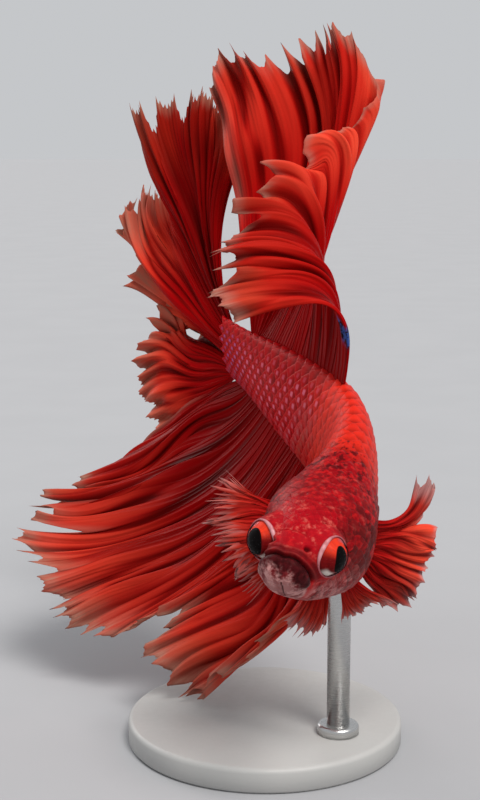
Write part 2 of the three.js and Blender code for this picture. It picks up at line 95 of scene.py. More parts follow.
FIN_ROOT_DEPTH = 0.9  # the root line's share of the way from the middle of the body to its surface
FINS = {
    "dorsal_fin": {
        "root": ((22.4, 90), (38.5, 90)), "pleats": 7, "pleat_depth": 0.6,
        "rays": [
            [0, -8, -4, 5.9, 2.8, -0.5, 3.5], [0.07, -9.6, -4, 7.6, 3.3, -0.5, 3.9],
            [0.13, -9.1, -3.9, 8.6, 3.6, -0.5, 4], [0.19, -8.6, -3.6, 9.8, 3.4, -0.5, 4],
            [0.27, -6.7, -3.2, 11.6, 2.7, 0, 4], [0.35, -5.9, -2.5, 12.8, 2.4, 0, 4.2],
            [0.42, -3.9, -1.8, 13.8, 2.6, 0, 4.5], [0.48, -2.8, -1, 15.1, 3, 0, 4.5],
            [0.53, -1, 0, 15.4, 2.8, 0, 4.9], [0.555, 0.9, 0.5, 15.6, 2.7, 0, 5],
            [0.58, 1.6, 0.9, 17, 2.7, 0, 4.9], [0.64, 4.3, 1.6, 18.2, 2.6, 0, 4.4],
            [0.7, 6.7, 2.5, 19, 2.5, 0.5, 4], [0.76, 8.1, 3.5, 22.4, 1.9, 0, 3],
            [0.82, 6.8, 4, 26.1, 2.6, 0.5, 1], [0.86, 5.1, 4.6, 26.3, 3.2, 0.5, 1],
            [0.9, 2.6, 5.4, 25.1, 3.9, 0.7, 1], [0.94, -0.4, 6, 24.2, 2.9, 0.9, 1.4],
            [0.975, -2.9, 6.1, 24.6, 1.8, 1, 1.3], [1, -3.6, 6, 21, 0.2, 1, 1.8],
        ],
    },
    "tail_fin": {
        "root": ((43.7, 80), (43.7, -80)), "pleats": 8, "pleat_depth": 0.5,
        "rays": [
            [0, 3, 3, 16.5, -2.3, 0, 0.5], [0.08, 1, 4, 19.2, -1.9, 0, 0],
            [0.18, -2.8, 6, 21.2, -1.2, 0, 0], [0.28, -6.2, 7.5, 21, -0.8, 0, 0],
            [0.38, -10, 9, 20.4, -0.8, 0.5, 0], [0.46, -7.2, 11, 13.8, -1.7, 0, -0.2],
            [0.52, -9.6, 12, 14.8, -2.2, 0, -0.3], [0.58, -11.4, 12, 13.6, -2.2, 0.5, -0.3],
            [0.66, -11, 12, 10.8, -1.2, 1, 0], [0.72, -9.4, 11, 7.4, -0.5, 1, 0.4],
            [0.78, -5, 9, 2.6, -0.5, 1, 0.6], [0.84, -7.7, 9, 3.6, -0.5, 1, 0.5],
            [0.9, -10, 8, 1, -0.5, 1, 1], [0.95, -9.8, 7, -3.2, -0.5, 1, 0.5],
            [1, -6.3, 6, -7.7, -0.5, 1, -0.6],
        ],
    },
    "anal_fin": {
        "root": ((20, -90), (42.9, -90)), "pleats": 9, "pleat_depth": 0.5,
        "rays": [
            [0, -3, -3, -7.5, 0.5, 0.5, -0.5], [0.05, -5.7, -3, -10, 1, 0.5, -0.8],
            [0.1, -7.9, -3, -12.7, 1.4, 0.5, -1.2], [0.15, -9.6, -2.9, -15.3, 1.8, 0.5, -1.5],
            [0.2, -11.9, -2, -17.2, 2.2, 0.5, -1.8], [0.25, -13.6, -1.3, -15.9, 2.2, 0.5, -1.9],
            [0.29, -14.2, -0.6, -15.2, 2, 0.5, -1.7], [0.33, -11.5, 0, -13.1, 1.2, 0.5, -1.2],
            [0.37, -14.3, 0, -14.9, 1.2, 0.5, -0.9], [0.42, -17.3, 0.2, -16.1, 1.4, 0.5, -0.8],
            [0.47, -19.5, 0.9, -16.5, 1.6, 0.5, -1.4], [0.52, -20.9, 1, -14.7, 1.6, 0.5, -2.4],
            [0.57, -21.6, 1.1, -13, 1.4, 0.5, -3.8], [0.63, -23.2, 1.8, -11, 1, 0.5, -4.8],
            [0.68, -22, 2.1, -10.2, 1, 0.6, -4.6], [0.75, -20.4, 2.2, -9.8, 1.2, 0.9, -3.4],
            [0.8, -20.9, 2.7, -9.4, 1.3, 1, -2.6], [0.86, -17, 3.5, -10.2, 1.3, 1, -1.3],
            [0.92, -15.2, 4, -9.5, 1, 1, 0], [1, -11.3, 4, -8.5, 0.8, 1, 1.3],
        ],
    },
    "pectoral_fin_right": {
        "root": ((11, 180), (11, 222)), "pleats": 4, "pleat_depth": 0.2,
        "rays": [
            [0, -4.5, 1.5, 1.9, -0.4, 0.5, -0.8], [0.1, -5, 1.1, 2.3, -0.3, 0.5, -0.6],
            [0.22, -6, 0.7, 2, -0.1, 0.5, 0], [0.36, -6.5, 0.3, 1.3, 0, 0.4, 0.5],
            [0.5, -6.8, -0.2, 0.5, 0, 0.2, 0.5], [0.62, -6.4, -0.6, -0.2, 0, 0, 0.5],
            [0.72, -5.8, -0.8, -1.2, 0, -0.3, 0.5], [0.82, -5.2, -1, -2.1, 0, -0.5, 0.4],
            [1, -3.8, -1, -4.2, 0, -0.5, 0],
        ],
    },
    "pectoral_fin_left": {
        "root": ((12, -5), (12.8, -60)), "pleats": 3, "pleat_depth": 0.2,
        "rays": [
            [0, 3.3, 2, 2.7, 0.7, 0.5, -1.2], [0.12, 4.5, 2, 3.1, 0.8, 0.5, -1.2],
            [0.22, 4.6, 2, 2.1, 0.8, 0.5, -0.8], [0.3, 3.6, 2, 0, 0.4, 0, -0.2],
            [0.4, 5.1, 1.8, 0.2, 0, 0, 0.2], [0.55, 5.5, 1.4, -1.3, 0, 0, 0.3],
            [0.68, 5, 1.5, -2.2, 0, 0, 0.2], [0.82, 4.7, 1.5, -3.4, 0, 0, 0],
            [0.92, 4.1, 1.5, -4.6, 0, 0, -0.1], [1, 2.6, 1.5, -4.1, 0, 0, -0.3],
        ],
    },
    "pelvic_fin_left": {
        "root": ((10.2, -55), (11.8, -74)), "pleats": 2, "pleat_depth": 0.15,
        "rays": [
            [0, 3.6, 0.5, -2.4, -0.4, 0, 0], [0.25, 2.6, 0.6, -2.6, -0.4, 0, -0.3],
            [0.5, 1.6, 0.8, -3.2, -0.4, 0, -0.3], [0.75, 0.8, 1.1, -3.9, -0.2, 0, -0.2],
            [1, 0.3, 1.5, -4.7, 0, 0, 0],
        ],
    },
    "pelvic_fin_right": {
        "root": ((10.2, -112), (11.8, -96)), "pleats": 2, "pleat_depth": 0.15,
        "rays": [
            [0, -1.5, -1.5, -3.6, 0.8, 0, 0], [0.25, -1.4, -1.5, -4.7, 0.8, 0, 0],
            [0.5, -0.8, -1, -4.9, 0.8, 0, 0], [0.75, -0.3, -0.8, -4.9, 0.4, 0, 0],
            [1, 0, -0.6, -4.2, 0.1, 0, 0],
        ],
    },
}

# ---- smooth curves and small functions ----


def smooth_curve(rows, x):
    """A smooth curve through rows [x, a, b, ...]: cubic pieces whose slopes average the two sides'."""
    table = np.array(rows, float)
    xs, values = table[:, 0], table[:, 1:]
    x = np.clip(x, xs[0], xs[-1])
    i = np.clip(np.searchsorted(xs, x, side="right") - 1, 0, len(xs) - 2)
    chord = (values[1:] - values[:-1]) / (xs[1:] - xs[:-1])[:, None]
    slope = np.vstack([chord[:1], (chord[:-1] + chord[1:]) / 2, chord[-1:]])
    span = (xs[i + 1] - xs[i])[..., None]
    t = (x - xs[i])[..., None] / span
    rise = 2 * t**3 - 3 * t**2 + 1
    lead = (t**3 - 2 * t**2 + t) * span
    trail = (t**3 - t**2) * span
    return rise * values[i] + lead * slope[i] + (1 - rise) * values[i + 1] + trail * slope[i + 1]


def ease(t):
    t = np.clip(t, 0, 1)
    return t * t * (3 - 2 * t)


def fade(x, low, high):
    """0 at low, 1 at high, smooth between; low may be the larger."""
    return ease((x - low) / (high - low))


def bump(x, width):
    return np.exp(-((x / width) ** 2))


def mix(a, b, share):
    return a + (b - a) * share


def unit(vectors):
    return vectors / np.maximum(np.linalg.norm(vectors, axis=-1, keepdims=True), 1e-9)


def wave(turns):
    return np.sin(2 * np.pi * turns)


def full_turn(count):
    return np.linspace(0, 2 * np.pi, count, endpoint=False)


def around(turn, up, across):
    """Directions that go round from up by way of across."""
    return np.cos(turn)[..., None] * up + np.sin(turn)[..., None] * across


# ---- the spine and the body's surface ----

STEP = 0.1


def heading(s):
    return math.radians(BEND) * fade(np.asarray(s, float), BEND_START, BEND_END)


def lay_out_spine():
    middles = heading((np.arange(math.ceil(BODY_LENGTH / STEP)) + 0.5) * STEP)
    steps = np.stack([-np.sin(middles), np.cos(middles), 0 * middles], -1) * STEP
    return np.vstack([np.zeros((1, 3)), np.cumsum(steps, 0)])


def turn_about(axis, degrees):
    """A rotation matrix about axis 0, 1 or 2."""
    c, s = math.cos(math.radians(degrees)), math.sin(math.radians(degrees))
    a, b = (axis + 1) % 3, (axis + 2) % 3
    matrix = np.eye(3)
    matrix[a, a], matrix[a, b], matrix[b, a], matrix[b, b] = c, -s, s, c
    return matrix


SPINE = lay_out_spine()
FISH_AXES = turn_about(1, ROLL) @ turn_about(2, YAW) @ turn_about(0, PITCH)


def to_world(points):
    return points @ FISH_AXES.T + SNOUT


def point_at(s, left, up):
    """A point in the world from its offsets to the left and up in the section at s."""
    s, left, up = np.broadcast_arrays(np.asarray(s, float), left, up)
    n = np.clip(s / STEP, 0, len(SPINE) - 1.001)
    whole = n.astype(int)
    place = mix(SPINE[whole], SPINE[whole + 1], (n - whole)[..., None])
    turn = heading(s)
    zero = np.zeros_like(turn)
    along = np.stack([-np.sin(turn), np.cos(turn), zero], -1)
    sideways = np.stack([np.cos(turn), np.sin(turn), zero], -1)
    upright = np.array([0, 0, 1])
    place = place + along * (s - np.clip(s, 0, BODY_LENGTH))[..., None]
    twist = math.radians(TWIST) * fade(s, TWIST_START, BODY_LENGTH)[..., None]
    left_axis = sideways * np.cos(twist) + upright * np.sin(twist)
    up_axis = upright * np.cos(twist) - sideways * np.sin(twist)
    return to_world(place + left_axis * left[..., None] + up_axis * up[..., None])


def half_sizes(s, angle):
    """The section's half width, and its half height on the side that the angle is on."""
    height = smooth_curve(BACK_HEIGHT, s)[..., 0]
    depth = smooth_curve(BELLY_DEPTH, s)[..., 0]
    width = smooth_curve(HALF_WIDTH, s)[..., 0]
    return width, np.where(np.sin(np.radians(angle)) >= 0, height, depth)


def roundness(s, angle):
    """The section's outline for half sizes of 1; the lower half of the head is fuller than an ellipse."""
    c, u = np.cos(np.radians(angle)), np.sin(np.radians(angle))
    power = np.where(u < 0, mix(JOWL_POWER, 1, fade(s, *JOWL_FADE)), 1)
    return np.sign(c) * np.abs(c) ** power, np.sign(u) * np.abs(u) ** power


def body_point(s, angle, share=1, grow=0):
    s, angle = np.broadcast_arrays(np.asarray(s, float), np.asarray(angle, float))
    width, height = half_sizes(s, angle)
    across, upward = roundness(s, angle)
    return point_at(s, (width + grow) * share * across, (height + grow) * share * upward)


def gill_edge(angle):
    return GILL_SEAM + GILL_BULGE * np.cos(np.radians(angle)) ** 2


# ---- meshes ----


def grid_faces(rows, columns, wrap=False, start=0):
    """Four-sided faces of a grid of points laid out row by row; wrap joins the last column to the first."""
    r = np.arange(rows - 1)[:, None]
    c = np.arange(columns if wrap else columns - 1)[None, :]
    after = (c + 1) % columns
    corners = [r * columns + c, r * columns + after, (r + 1) * columns + after, (r + 1) * columns + c]
    return np.stack([np.broadcast_to(k, (rows - 1, c.size)) for k in corners], -1).reshape(-1, 4) + start


def add_to_scene(name, data):
    item = bpy.data.objects.new(name, data)
    bpy.context.scene.collection.objects.link(item)
    return item


def make_piece(name, points, faces, material, marks=None, uv=None):
    """A smooth-shaded mesh object that rides on the model. Marks are named values, one for each point."""
    mesh = bpy.data.meshes.new(name)
    faces = faces.tolist() if isinstance(faces, np.ndarray) else faces
    mesh.from_pydata((points * MM).tolist(), [], faces)
    for key, values in (marks or {}).items():
        layer = mesh.attributes.new(key, "FLOAT", "POINT")
        layer.data.foreach_set("value", np.ascontiguousarray(values, np.float32).ravel())
    if uv is not None:
        corners = np.zeros(len(mesh.loops), np.int32)
        mesh.loops.foreach_get("vertex_index", corners)
        layer = mesh.uv_layers.new(name="OFBake")
        layer.data.foreach_set("uv", uv[corners].astype(np.float32).ravel())
    mesh.polygons.foreach_set("use_smooth", np.ones(len(mesh.polygons), bool))
    mesh.materials.append(material)
    mesh.update()
    piece = add_to_scene(name, mesh)
    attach(piece, "root")
    return piece


def shell_faces(rows, columns, count):
    """Faces of a closed thin sheet: a front grid, a back grid of as many points, and a rim between them."""
    front = grid_faces(rows, columns)
    back = grid_faces(rows, columns, start=count)[:, ::-1]
    number = np.arange(rows * columns).reshape(rows, columns)
    rim = np.concatenate([number[0, :-1], number[:-1, -1], number[-1, :0:-1], number[:0:-1, 0]])
    after = np.roll(rim, -1)
    sides = np.stack([rim, rim + count, after + count, after], -1)
    return np.vstack([front, back, sides])


def make_closed(name, rings, marks, material, turned=True):
    """Rings of points as a piece closed at both ends; "turned" if, seen from the last, they run clockwise."""
    count, spokes = rings.shape[:2]
    points = np.vstack([rings.reshape(-1, 3), rings[0].mean(0), rings[-1].mean(0)])
    faces = grid_faces(count, spokes, wrap=True).tolist()
    first, last = count * spokes, count * spokes + 1
    for k in range(spokes):
        after = (k + 1) % spokes
        faces += [[after, k, first], [first - spokes + k, first - spokes + after, last]]
    if turned:
        faces = [face[::-1] for face in faces]
    for key, value in marks.items():
        marks[key] = np.append(value, [value[0, 0], value[-1, -1]])
    return make_piece(name, points, faces, material, marks)


# ---- materials ----


class Value:
    """What a node gives out, ready for sums with other values and with plain numbers."""

    def __init__(self, shader, socket):
        self.shader = shader
        self.socket = socket

    def __mul__(self, other):
        return self.shader.math("MULTIPLY", self, other)

    def __add__(self, other):
        return self.shader.math("ADD", self, other)

    def __sub__(self, other):
        return self.shader.math("SUBTRACT", self, other)

    def __abs__(self):
        return self.shader.math("ABSOLUTE", self)


class Shader:
    """A material built with short calls. A Value is linked; a number or colour is set on the socket."""

    def __init__(self, name):
        self.material = bpy.data.materials.new(name)
        self.material.use_nodes = True
        self.tree = self.material.node_tree
        self.tree.nodes.clear()

    def node(self, kind, inputs, output=0, **settings):
        """Makes a node, fills its inputs by name or number, and gives one of its outputs back."""
        made = self.tree.nodes.new(kind)
        for key, value in settings.items():
            setattr(made, key, value)
        for key, value in inputs.items():
            self.put(made.inputs[key], value)
        return Value(self, made.outputs[output])

    def put(self, socket, value):
        if isinstance(value, Value):
            self.tree.links.new(value.socket, socket)
        elif socket.type == "RGBA":
            socket.default_value = (*value, 1)
        else:
            socket.default_value = value

    def math(self, operation, *values):
        return self.node("ShaderNodeMath", dict(enumerate(values)), operation=operation)

    def mark(self, name):
        """A value laid on the mesh's points."""
        return self.node("ShaderNodeAttribute", {}, "Fac", attribute_name=name)

    def place(self):
        return self.node("ShaderNodeTexCoord", {}, "Object")

    def combine(self, x, y, z=0):
        return self.node("ShaderNodeCombineXYZ", {"X": x, "Y": y, "Z": z})

    def noise(self, scale, detail=3, roughness=0.55, place=None):
        inputs = {"Scale": scale, "Detail": detail, "Roughness": roughness, "Vector": place or self.place()}
        return self.node("ShaderNodeTexNoise", inputs, "Fac")

    def ramp(self, fac, stops):
        """A colour that runs smoothly through stops of (place, colour)."""
        made = self.node("ShaderNodeValToRGB", {"Fac": fac}, "Color")
        ramp = made.socket.node.color_ramp
        ramp.interpolation = "EASE"
        while len(ramp.elements) < len(stops):
            ramp.elements.new(0.5)
        for element, (position, colour) in zip(ramp.elements, stops):
            element.position = position
            element.color = (*colour, 1)
        return made

    def span(self, fac, low, high, to_low=0, to_high=1):
        """Maps low..high to to_low..to_high, clamped and smooth."""
        inputs = dict(enumerate((fac, low, high, to_low, to_high)))
        return self.node("ShaderNodeMapRange", inputs, interpolation_type="SMOOTHSTEP")

    def blend(self, fac, a, b, mode="MIX"):
        return self.node("ShaderNodeMix", {0: fac, 6: a, 7: b}, 2, data_type="RGBA", blend_type=mode)

    def layers(self, colour, *rows):
        """A colour with others laid over it in turn; each row is (amount, colour)."""
        for amount, over in rows:
            colour = self.blend(amount, colour, over)
        return colour

    def bump(self, height, distance, strength, under=None):
        inputs = {"Height": height, "Distance": distance, "Strength": strength}
        if under:
            inputs["Normal"] = under
        return self.node("ShaderNodeBump", inputs, "Normal")

    def surface(self, colour, grain, gloss, normal, **more):
        """The main surface; its roughness runs over the range "gloss" with the grain."""
        inputs = {"Base Color": colour, "Roughness": self.span(grain, 0.3, 0.7, *gloss), "Normal": normal}
        inputs |= {key.replace("_", " "): value for key, value in more.items()}
        return self.node("ShaderNodeBsdfPrincipled", inputs)

    def mix_surfaces(self, fac, first, second):
        return self.node("ShaderNodeMixShader", {0: fac, 1: first, 2: second})

    def finish(self, surface):
        self.put(self.tree.nodes.new("ShaderNodeOutputMaterial").inputs["Surface"], surface)
        return self.material


# Colours as linear light.
# Painted light: the front of the trunk, which faces the light, is painted orange.
LIT_BACK_ORANGE = (0.68, 0.022, 0.01)
DEEP_CRIMSON = (0.54, 0.001, 0.004)
CROWN_RED = (0.28, 0.001, 0.005)
CROWN_LIGHT = (0.5, 0.008, 0.01)
# Painted highlight on the top of the head round the eyes.
BROW_HIGHLIGHT_RED = (0.42, 0.004, 0.012)
SPOT_MAROON = (0.075, 0.002, 0.004)
STREAK_PINK = (0.66, 0.13, 0.1)
MUZZLE_RED = (0.115, 0.004, 0.006)
# Painted shadow under the upper lip, mottled from dark to maroon.
LIP_SHADOW_MAROON = (0.06, 0.005, 0.007)
LIP_SHADOW_DARK = (0.03, 0.003, 0.004)
CHIN_GREY = (0.54, 0.27, 0.255)
CHIN_DARK = (0.13, 0.014, 0.017)
CHEEK_BROWN = (0.07, 0.008, 0.008)
CHEEK_PALE = (0.28, 0.06, 0.05)
DOT_PINK = (0.8, 0.15, 0.23)
DOT_LILAC = (0.42, 0.1, 0.32)
SCALE_GREY = (0.34, 0.085, 0.065)
PALE_RIM = (0.66, 0.3, 0.32)
# Painted light on the fins, where they are lit and where light shines through them; the rays are drawn in
# this orange too.
RAY_AND_PAINTED_LIGHT_ORANGE = (0.98, 0.085, 0.042)
# Painted shade in the nostrils, along the mouth's slit and in the fold down the chin.
PIT_SHADE_BLACK = (0.012, 0.002, 0.002)
# Painted shade: darkens the fins in their folds and where they lie in shade; it also draws dark streaks along
# the rays.
SHADE_AND_STREAK_TINT = (0.12, 0.04, 0.1)  # darkens the fins where they fold
SPOT_BLACK, SPOT_BLUE = (0.01, 0.004, 0.012), (0.05, 0.12, 0.42)
# These tint the reflections of the skin, and of its scales and the fins.
SHEEN_SKIN, SHEEN_RED = (1, 0.35, 0.3), (1, 0.22, 0.15)
FIN_TRANSLUCENCY = 0.25


def markings(shader):
    """The body's colour, with its painted light and shade, from the zones laid on each mesh; the skin and its
    scales share it.
    """
    mark, span, noise, blend = shader.mark, shader.span, shader.noise, shader.blend
    brow, cheek, lip = mark("brow"), mark("cheek"), mark("lip")
    fine = noise(2600, 4)
    # Noise drawn out into streaks across the head, from the back down to the belly.
    streaks = noise(1, 3, 0.6, shader.combine(mark("s") * 110, mark("round") * 16))
    flecks = span(noise(1500, 4, 0.7), 0.52, 0.68)
    crown = shader.layers(
        blend(span(fine, 0.44, 0.66), CROWN_RED, CROWN_LIGHT),
        # Painted highlight on the top of the head round the eyes, with more pale flecks there.
        (brow * 0.6, BROW_HIGHLIGHT_RED),
        (flecks * (brow * 0.5 + 0.25), STREAK_PINK),
    )
    chin = blend(span(noise(1500, 4, 0.65), 0.4, 0.6), CHIN_DARK, CHIN_GREY)
    # Painted shadow under the upper lip, over the top of the lower jaw, with a mottled lower edge.
    band = blend(span(fine, 0.4, 0.62), LIP_SHADOW_DARK, LIP_SHADOW_MAROON)
    mouth = span(lip + span(noise(1700, 5, 0.7), 0.3, 0.7, -0.3, 0.3), 0, 0.95) * span(lip, 0, 0.1)
    return shader.layers(
        DEEP_CRIMSON,
        # Painted light: orange on the lit front of the trunk.
        (mark("back"), LIT_BACK_ORANGE),
        (span(noise(520, 3), 0.4, 0.75, 0, 0.25), CROWN_RED),
        (mark("crown"), crown),
        (span(noise(1750, 2, 0.6), 0.49, 0.6, 0, 0.9) * mark("speckled"), SPOT_MAROON),
        (cheek * span(streaks, 0.36, 0.54, 0, 0.95), CHEEK_BROWN),
        (cheek * span(streaks, 0.38, 0.28, 0, 0.5), CHEEK_PALE),
        (span(noise(1100, 3, 0.6), 0.35, 0.65, 0.7, 1) * mark("muzzle"), MUZZLE_RED),
        (mark("chin"), chin),
        (mark("chin_tip"), CHIN_GREY),
        (mark("crest"), STREAK_PINK),
        # Painted shadow under the upper lip.
        (mouth, band),
        # Painted shade in the nostrils, the mouth's slit and the chin's fold.
        (mark("pit_shade"), PIT_SHADE_BLACK),
    )


def skin_material():
    shader = Shader("skin_wet")
    pebble = shader.noise(6500, 3, 0.6)
    cells = shader.node("ShaderNodeTexVoronoi", {"Scale": 1900, "Vector": shader.place()}, "Distance",
                        feature="DISTANCE_TO_EDGE")
    normal = shader.bump(cells, 0.00006, 0.35, shader.bump(pebble, 0.00003, 0.5))
    return shader.finish(shader.surface(
        markings(shader), pebble, (0.42, 0.6), normal, Specular_IOR_Level=0.1, Specular_Tint=SHEEN_SKIN,
        Subsurface_Weight=0.06, Subsurface_Scale=0.0006,
    ))


def scale_material():
    """The scales carry the skin's markings, with painted shade at each root, under the free edge of the scale
    in front, and a pale dot on each flank scale.
    """
    shader = Shader("scales_wet")
    mark, span = shader.mark, shader.span
    across, out, grey = mark("scale_across"), mark("scale_out"), mark("grey")
    # Painted shade at each scale's root, where the scale in front lies over it; fainter on the crown.
    shade = span(out, 0.3, 0.75, span(mark("crown"), 0.2, 1, 0.5, 0.85), 1)
    shaded = shader.blend(1, markings(shader), shader.combine(shade, shade, shade), "MULTIPLY")
    dot = span(abs(out - 0.68), 0.05, 0.15, 1, 0) * span(abs(across), 0.1, 0.34, 1, 0)
    smear = span(out, 0.45, 0.62) * span(abs(across), 0.3, 0.9, 0.8, 0)
    spot = dot * span(grey, 0.2, 0.9, 1, 0.3) + smear * span(grey, 0.1, 1, 0, 0.45)
    spot_colour = shader.layers(DOT_PINK, (mark("lilac"), DOT_LILAC), (grey, SCALE_GREY))
    patchy = span(shader.noise(420, 2), 0.3, 0.55, 0.35, 1)
    colour = shader.layers(
        shaded,
        (spot * mark("flank") * patchy, spot_colour),
        (span(out, 0.9, 1, 0, 0.06) * mark("rimlight"), PALE_RIM),
    )
    grooves = shader.noise(1, 2, 0.5, shader.combine(across * 9, out * 1.5, mark("s")))
    normal = shader.bump(grooves, 0.00004, 0.4)
    return shader.finish(shader.surface(
        colour, grooves, (0.36, 0.52), normal, Specular_IOR_Level=0.08, Specular_Tint=SHEEN_RED))


def fin_material(name, stops, tip, lines, blue=False):
    """A fin: a colour that runs from the root to the margin, fine rays, painted light where it is lit,
    painted shade in its folds and shaded parts, dark streaks and pale tips.
    """
    shader = Shader(name)
    mark, span = shader.mark, shader.span
    out, ray, fold, along = mark("fin_out"), mark("fin_ray"), mark("fin_fold"), mark("fin_along")
    painted_light = mark("fin_painted_light")
    streak = shader.noise(1, 4, 0.6, shader.combine(along * 190, out * 2.2))
    patch = shader.noise(1, 2, 0.5, shader.combine(along * 13, out * 1.8, 3.7))
    bright = shader.layers(
        shader.ramp(out + span(patch, 0.3, 0.7, -0.14, 0.12), stops),
        # Painted light, strongest on the ridges of the folds.
        (painted_light * span(fold, 0.3, 0.75, 0.25, 0.95), RAY_AND_PAINTED_LIGHT_ORANGE),
        (ray * (0.1 * lines), RAY_AND_PAINTED_LIGHT_ORANGE),
    )
    dark = shader.blend(1, bright, SHADE_AND_STREAK_TINT, "MULTIPLY")
    colour = shader.layers(
        bright,
        # Painted shadow where the fin lies in shade.
        (mark("fin_shadow") * 0.75, dark),
        (span(streak, 0.42, 0.72, 0, 0.3 * lines), dark),
        # Painted shade in the valleys between the folds, less where painted light lies.
        (span(fold, 0.05, 0.7, 0.9, 0) * span(painted_light, 0.2, 1, 1, 0.55), dark),
        (mark("fin_tip") * span(streak, 0.25, 0.6, 1, 0.45), tip),
    )
    if blue:
        spots = shader.blend(span(shader.noise(2600, 2), 0.45, 0.58), SPOT_BLACK, SPOT_BLUE)
        colour = shader.blend(mark("fin_blue"), colour, spots)
    normal = shader.bump(ray + streak * 0.5, 0.00004, 0.5)
    surface = shader.surface(
        colour, streak, (0.36, 0.52), normal, Specular_IOR_Level=0.07, Specular_Tint=SHEEN_RED)
    lit_through = shader.node("ShaderNodeBsdfTranslucent", {"Color": colour, "Normal": normal})
    return shader.finish(shader.mix_surfaces(FIN_TRANSLUCENCY, surface, lit_through))


# ---- the zones of colour and the relief of the skin ----


def mouth_place(s, up):
    """How far along the mouth's slit a point lies (0 in front, 1 at the corner) and how far above it."""
    run = MOUTH_CORNER - MOUTH_FRONT
    length = np.hypot(*run)
    direction = run / length
    normal = np.array([-direction[1], direction[0]])
    ahead, above = s - MOUTH_FRONT[0], up - MOUTH_FRONT[1]
    along = (ahead * direction[0] + above * direction[1]) / length
    return along, ahead * normal[0] + above * normal[1]


def section_place(s, angle, share=1):
    """Offsets to the left and up of the surface at (s, angle) from the middle of its section."""
    width, height = half_sizes(s, angle)
    across, upward = roundness(s, angle)
    return width * across * share, height * upward * share


NOSTRIL_S, NOSTRIL_ANGLE = 1.9, 38  # the angle is from the middle of the back
# Where each eye looks, in the world: nearly straight out to the side.
EYE_GAZE = {1: np.array([0.71, -0.7, -0.08]), -1: np.array([-0.77, -0.63, 0.06])}
LID_RADIUS = 1.4
# How wide a strip of skin is drawn to the lid, where the skin lies behind the lid and where before it.
LID_REACH, LIP_REACH = 0.6, 0.2
LID_PROUD, SOCKET_GAP = 0.02, 0.1
LIP_DIP = 0.1
CHIN_SLIT_LEFT = 0.32


def from_back(angle):
    """Degrees from the middle of the back, to either side."""
    return np.abs(((angle - 90 + 180) % 360) - 180)


def nostril_distance(s, angle):
    """Distance in millimetres to the nearer nostril."""
    _, height = half_sizes(s, angle)
    return np.hypot(s - NOSTRIL_S, np.radians(from_back(angle) - NOSTRIL_ANGLE) * height)


def above_mouth(s, angle, share=1):
    """mouth_place of the surface at (s, angle), with the dip that the middle of the upper lip has."""
    left, up = section_place(s, angle, share)
    along, above = mouth_place(s, up)
    return along, above + LIP_DIP * bump(left, 0.3) - 0.6 * LIP_DIP * bump(np.abs(left) - 0.85, 0.4)


def chin_slit(s, angle, share):
    """1 in the fold down the middle of the chin."""
    left, up = section_place(s, angle, share)
    return bump(left - CHIN_SLIT_LEFT, 0.05) * fade(up, -0.25, -0.5) * fade(s, 2.8, 1.9)


def zones(s, angle, share=1):
    """Named shares, 0 to 1, of the body's zones of colour and of its painted light and shade. A share below 1
    is on the snout's end.
    """
    upness = np.sin(np.radians(angle)) * share
    along, above = above_mouth(s, angle, share)
    near_mouth = fade(along, 1.3, 1.02) * fade(s, 4, 3.2)
    jaw = fade(s, 3.4, 2.4) * fade(above, -0.35, -0.65)
    net = fade(upness, -0.2, -0.6) * fade(s, 8, 5) * fade(s, 1.6, 2.6)
    wander = 0.6 * np.sin(s * 1.7) + 0.5 * np.sin(s * 0.9 + 1)
    # Painted light on the back and sides ahead of the bend, which face the light; past the bend, where the
    # trunk turns into shade, none is painted.
    back = fade(upness + 0.05 * wander, -0.7, -0.15) * fade(s + 0.7 * wander - 1.2 * upness, 25, 19.6)
    speckled = 0.5 * fade(s, 12.8, 11.2) * fade(s, 4.2, 6.5)
    speckled += 0.7 * bump(s - 10.6, 1.8) * fade(upness, 0, 0.5)
    speckled += 0.5 * bump(s - 6.8, 2.4) * bump(upness - 0.3, 0.4)
    grey = 0.9 * fade(s, 28, 23.5) * fade(upness, 0.75, 0.2) + 0.6 * fade(upness, 0.1, -0.5)
    # Painted shade in the nostrils, along the mouth's slit and in the fold down the chin.
    pits = 0.75 * fade(nostril_distance(s, angle), 0.24, 0.1)
    pits = pits + 0.7 * near_mouth * bump(above + 0.04, 0.1) + 0.8 * chin_slit(s, angle, share)
    muzzle = near_mouth * mix(0.35, 1, fade(above, 0.9, 0.5)) * fade(above, 1.35, 0.65)
    left, _ = section_place(s, angle, share)
    band = above + 0.16 * left + 0.06 * np.sin(5 * left + 1)
    return {
        "s": s / BODY_LENGTH,
        "round": (angle % 360) / 360,
        "back": back,
        "crown": fade(s, 12.6, 9.6) * fade(upness, -0.9, -0.1),
        "speckled": np.minimum(speckled, 1),
        # Painted highlight on the top of the head round the eyes.
        "brow": bump(s - 3.4, 2) * fade(upness, 0.25, 0.7),
        "muzzle": muzzle * fade(above, -0.1, 0.1),
        # Painted shadow under the upper lip, over the top of the lower jaw.
        "lip": near_mouth * fade(band, -1.5, -0.45) * fade(above, 0.1, 0.02),
        "chin": np.minimum(jaw + 0.6 * net, 0.92),
        "chin_tip": 0.7 * fade(s, 2.6, 1.2) * fade(above, -1.15, -1.65),
        "crest": near_mouth * (0.08 * bump(above - 0.26, 0.05) + 0.08 * bump(above - 0.7, 0.06)),
        "cheek": bump(s - 6.6, 3.3) * bump(upness - 0.05, 0.75),
        "pit_shade": np.minimum(pits, 1),
        "flank": fade(s + 0.5 * wander, 20, 24) * fade(np.abs(upness + 0.1), 1, 0.7),
        "lilac": fade(s, 35, 42),
        "grey": np.minimum(grey, 1),
        "rimlight": fade(s, 14, 9) * fade(s, 4, 7),
    }


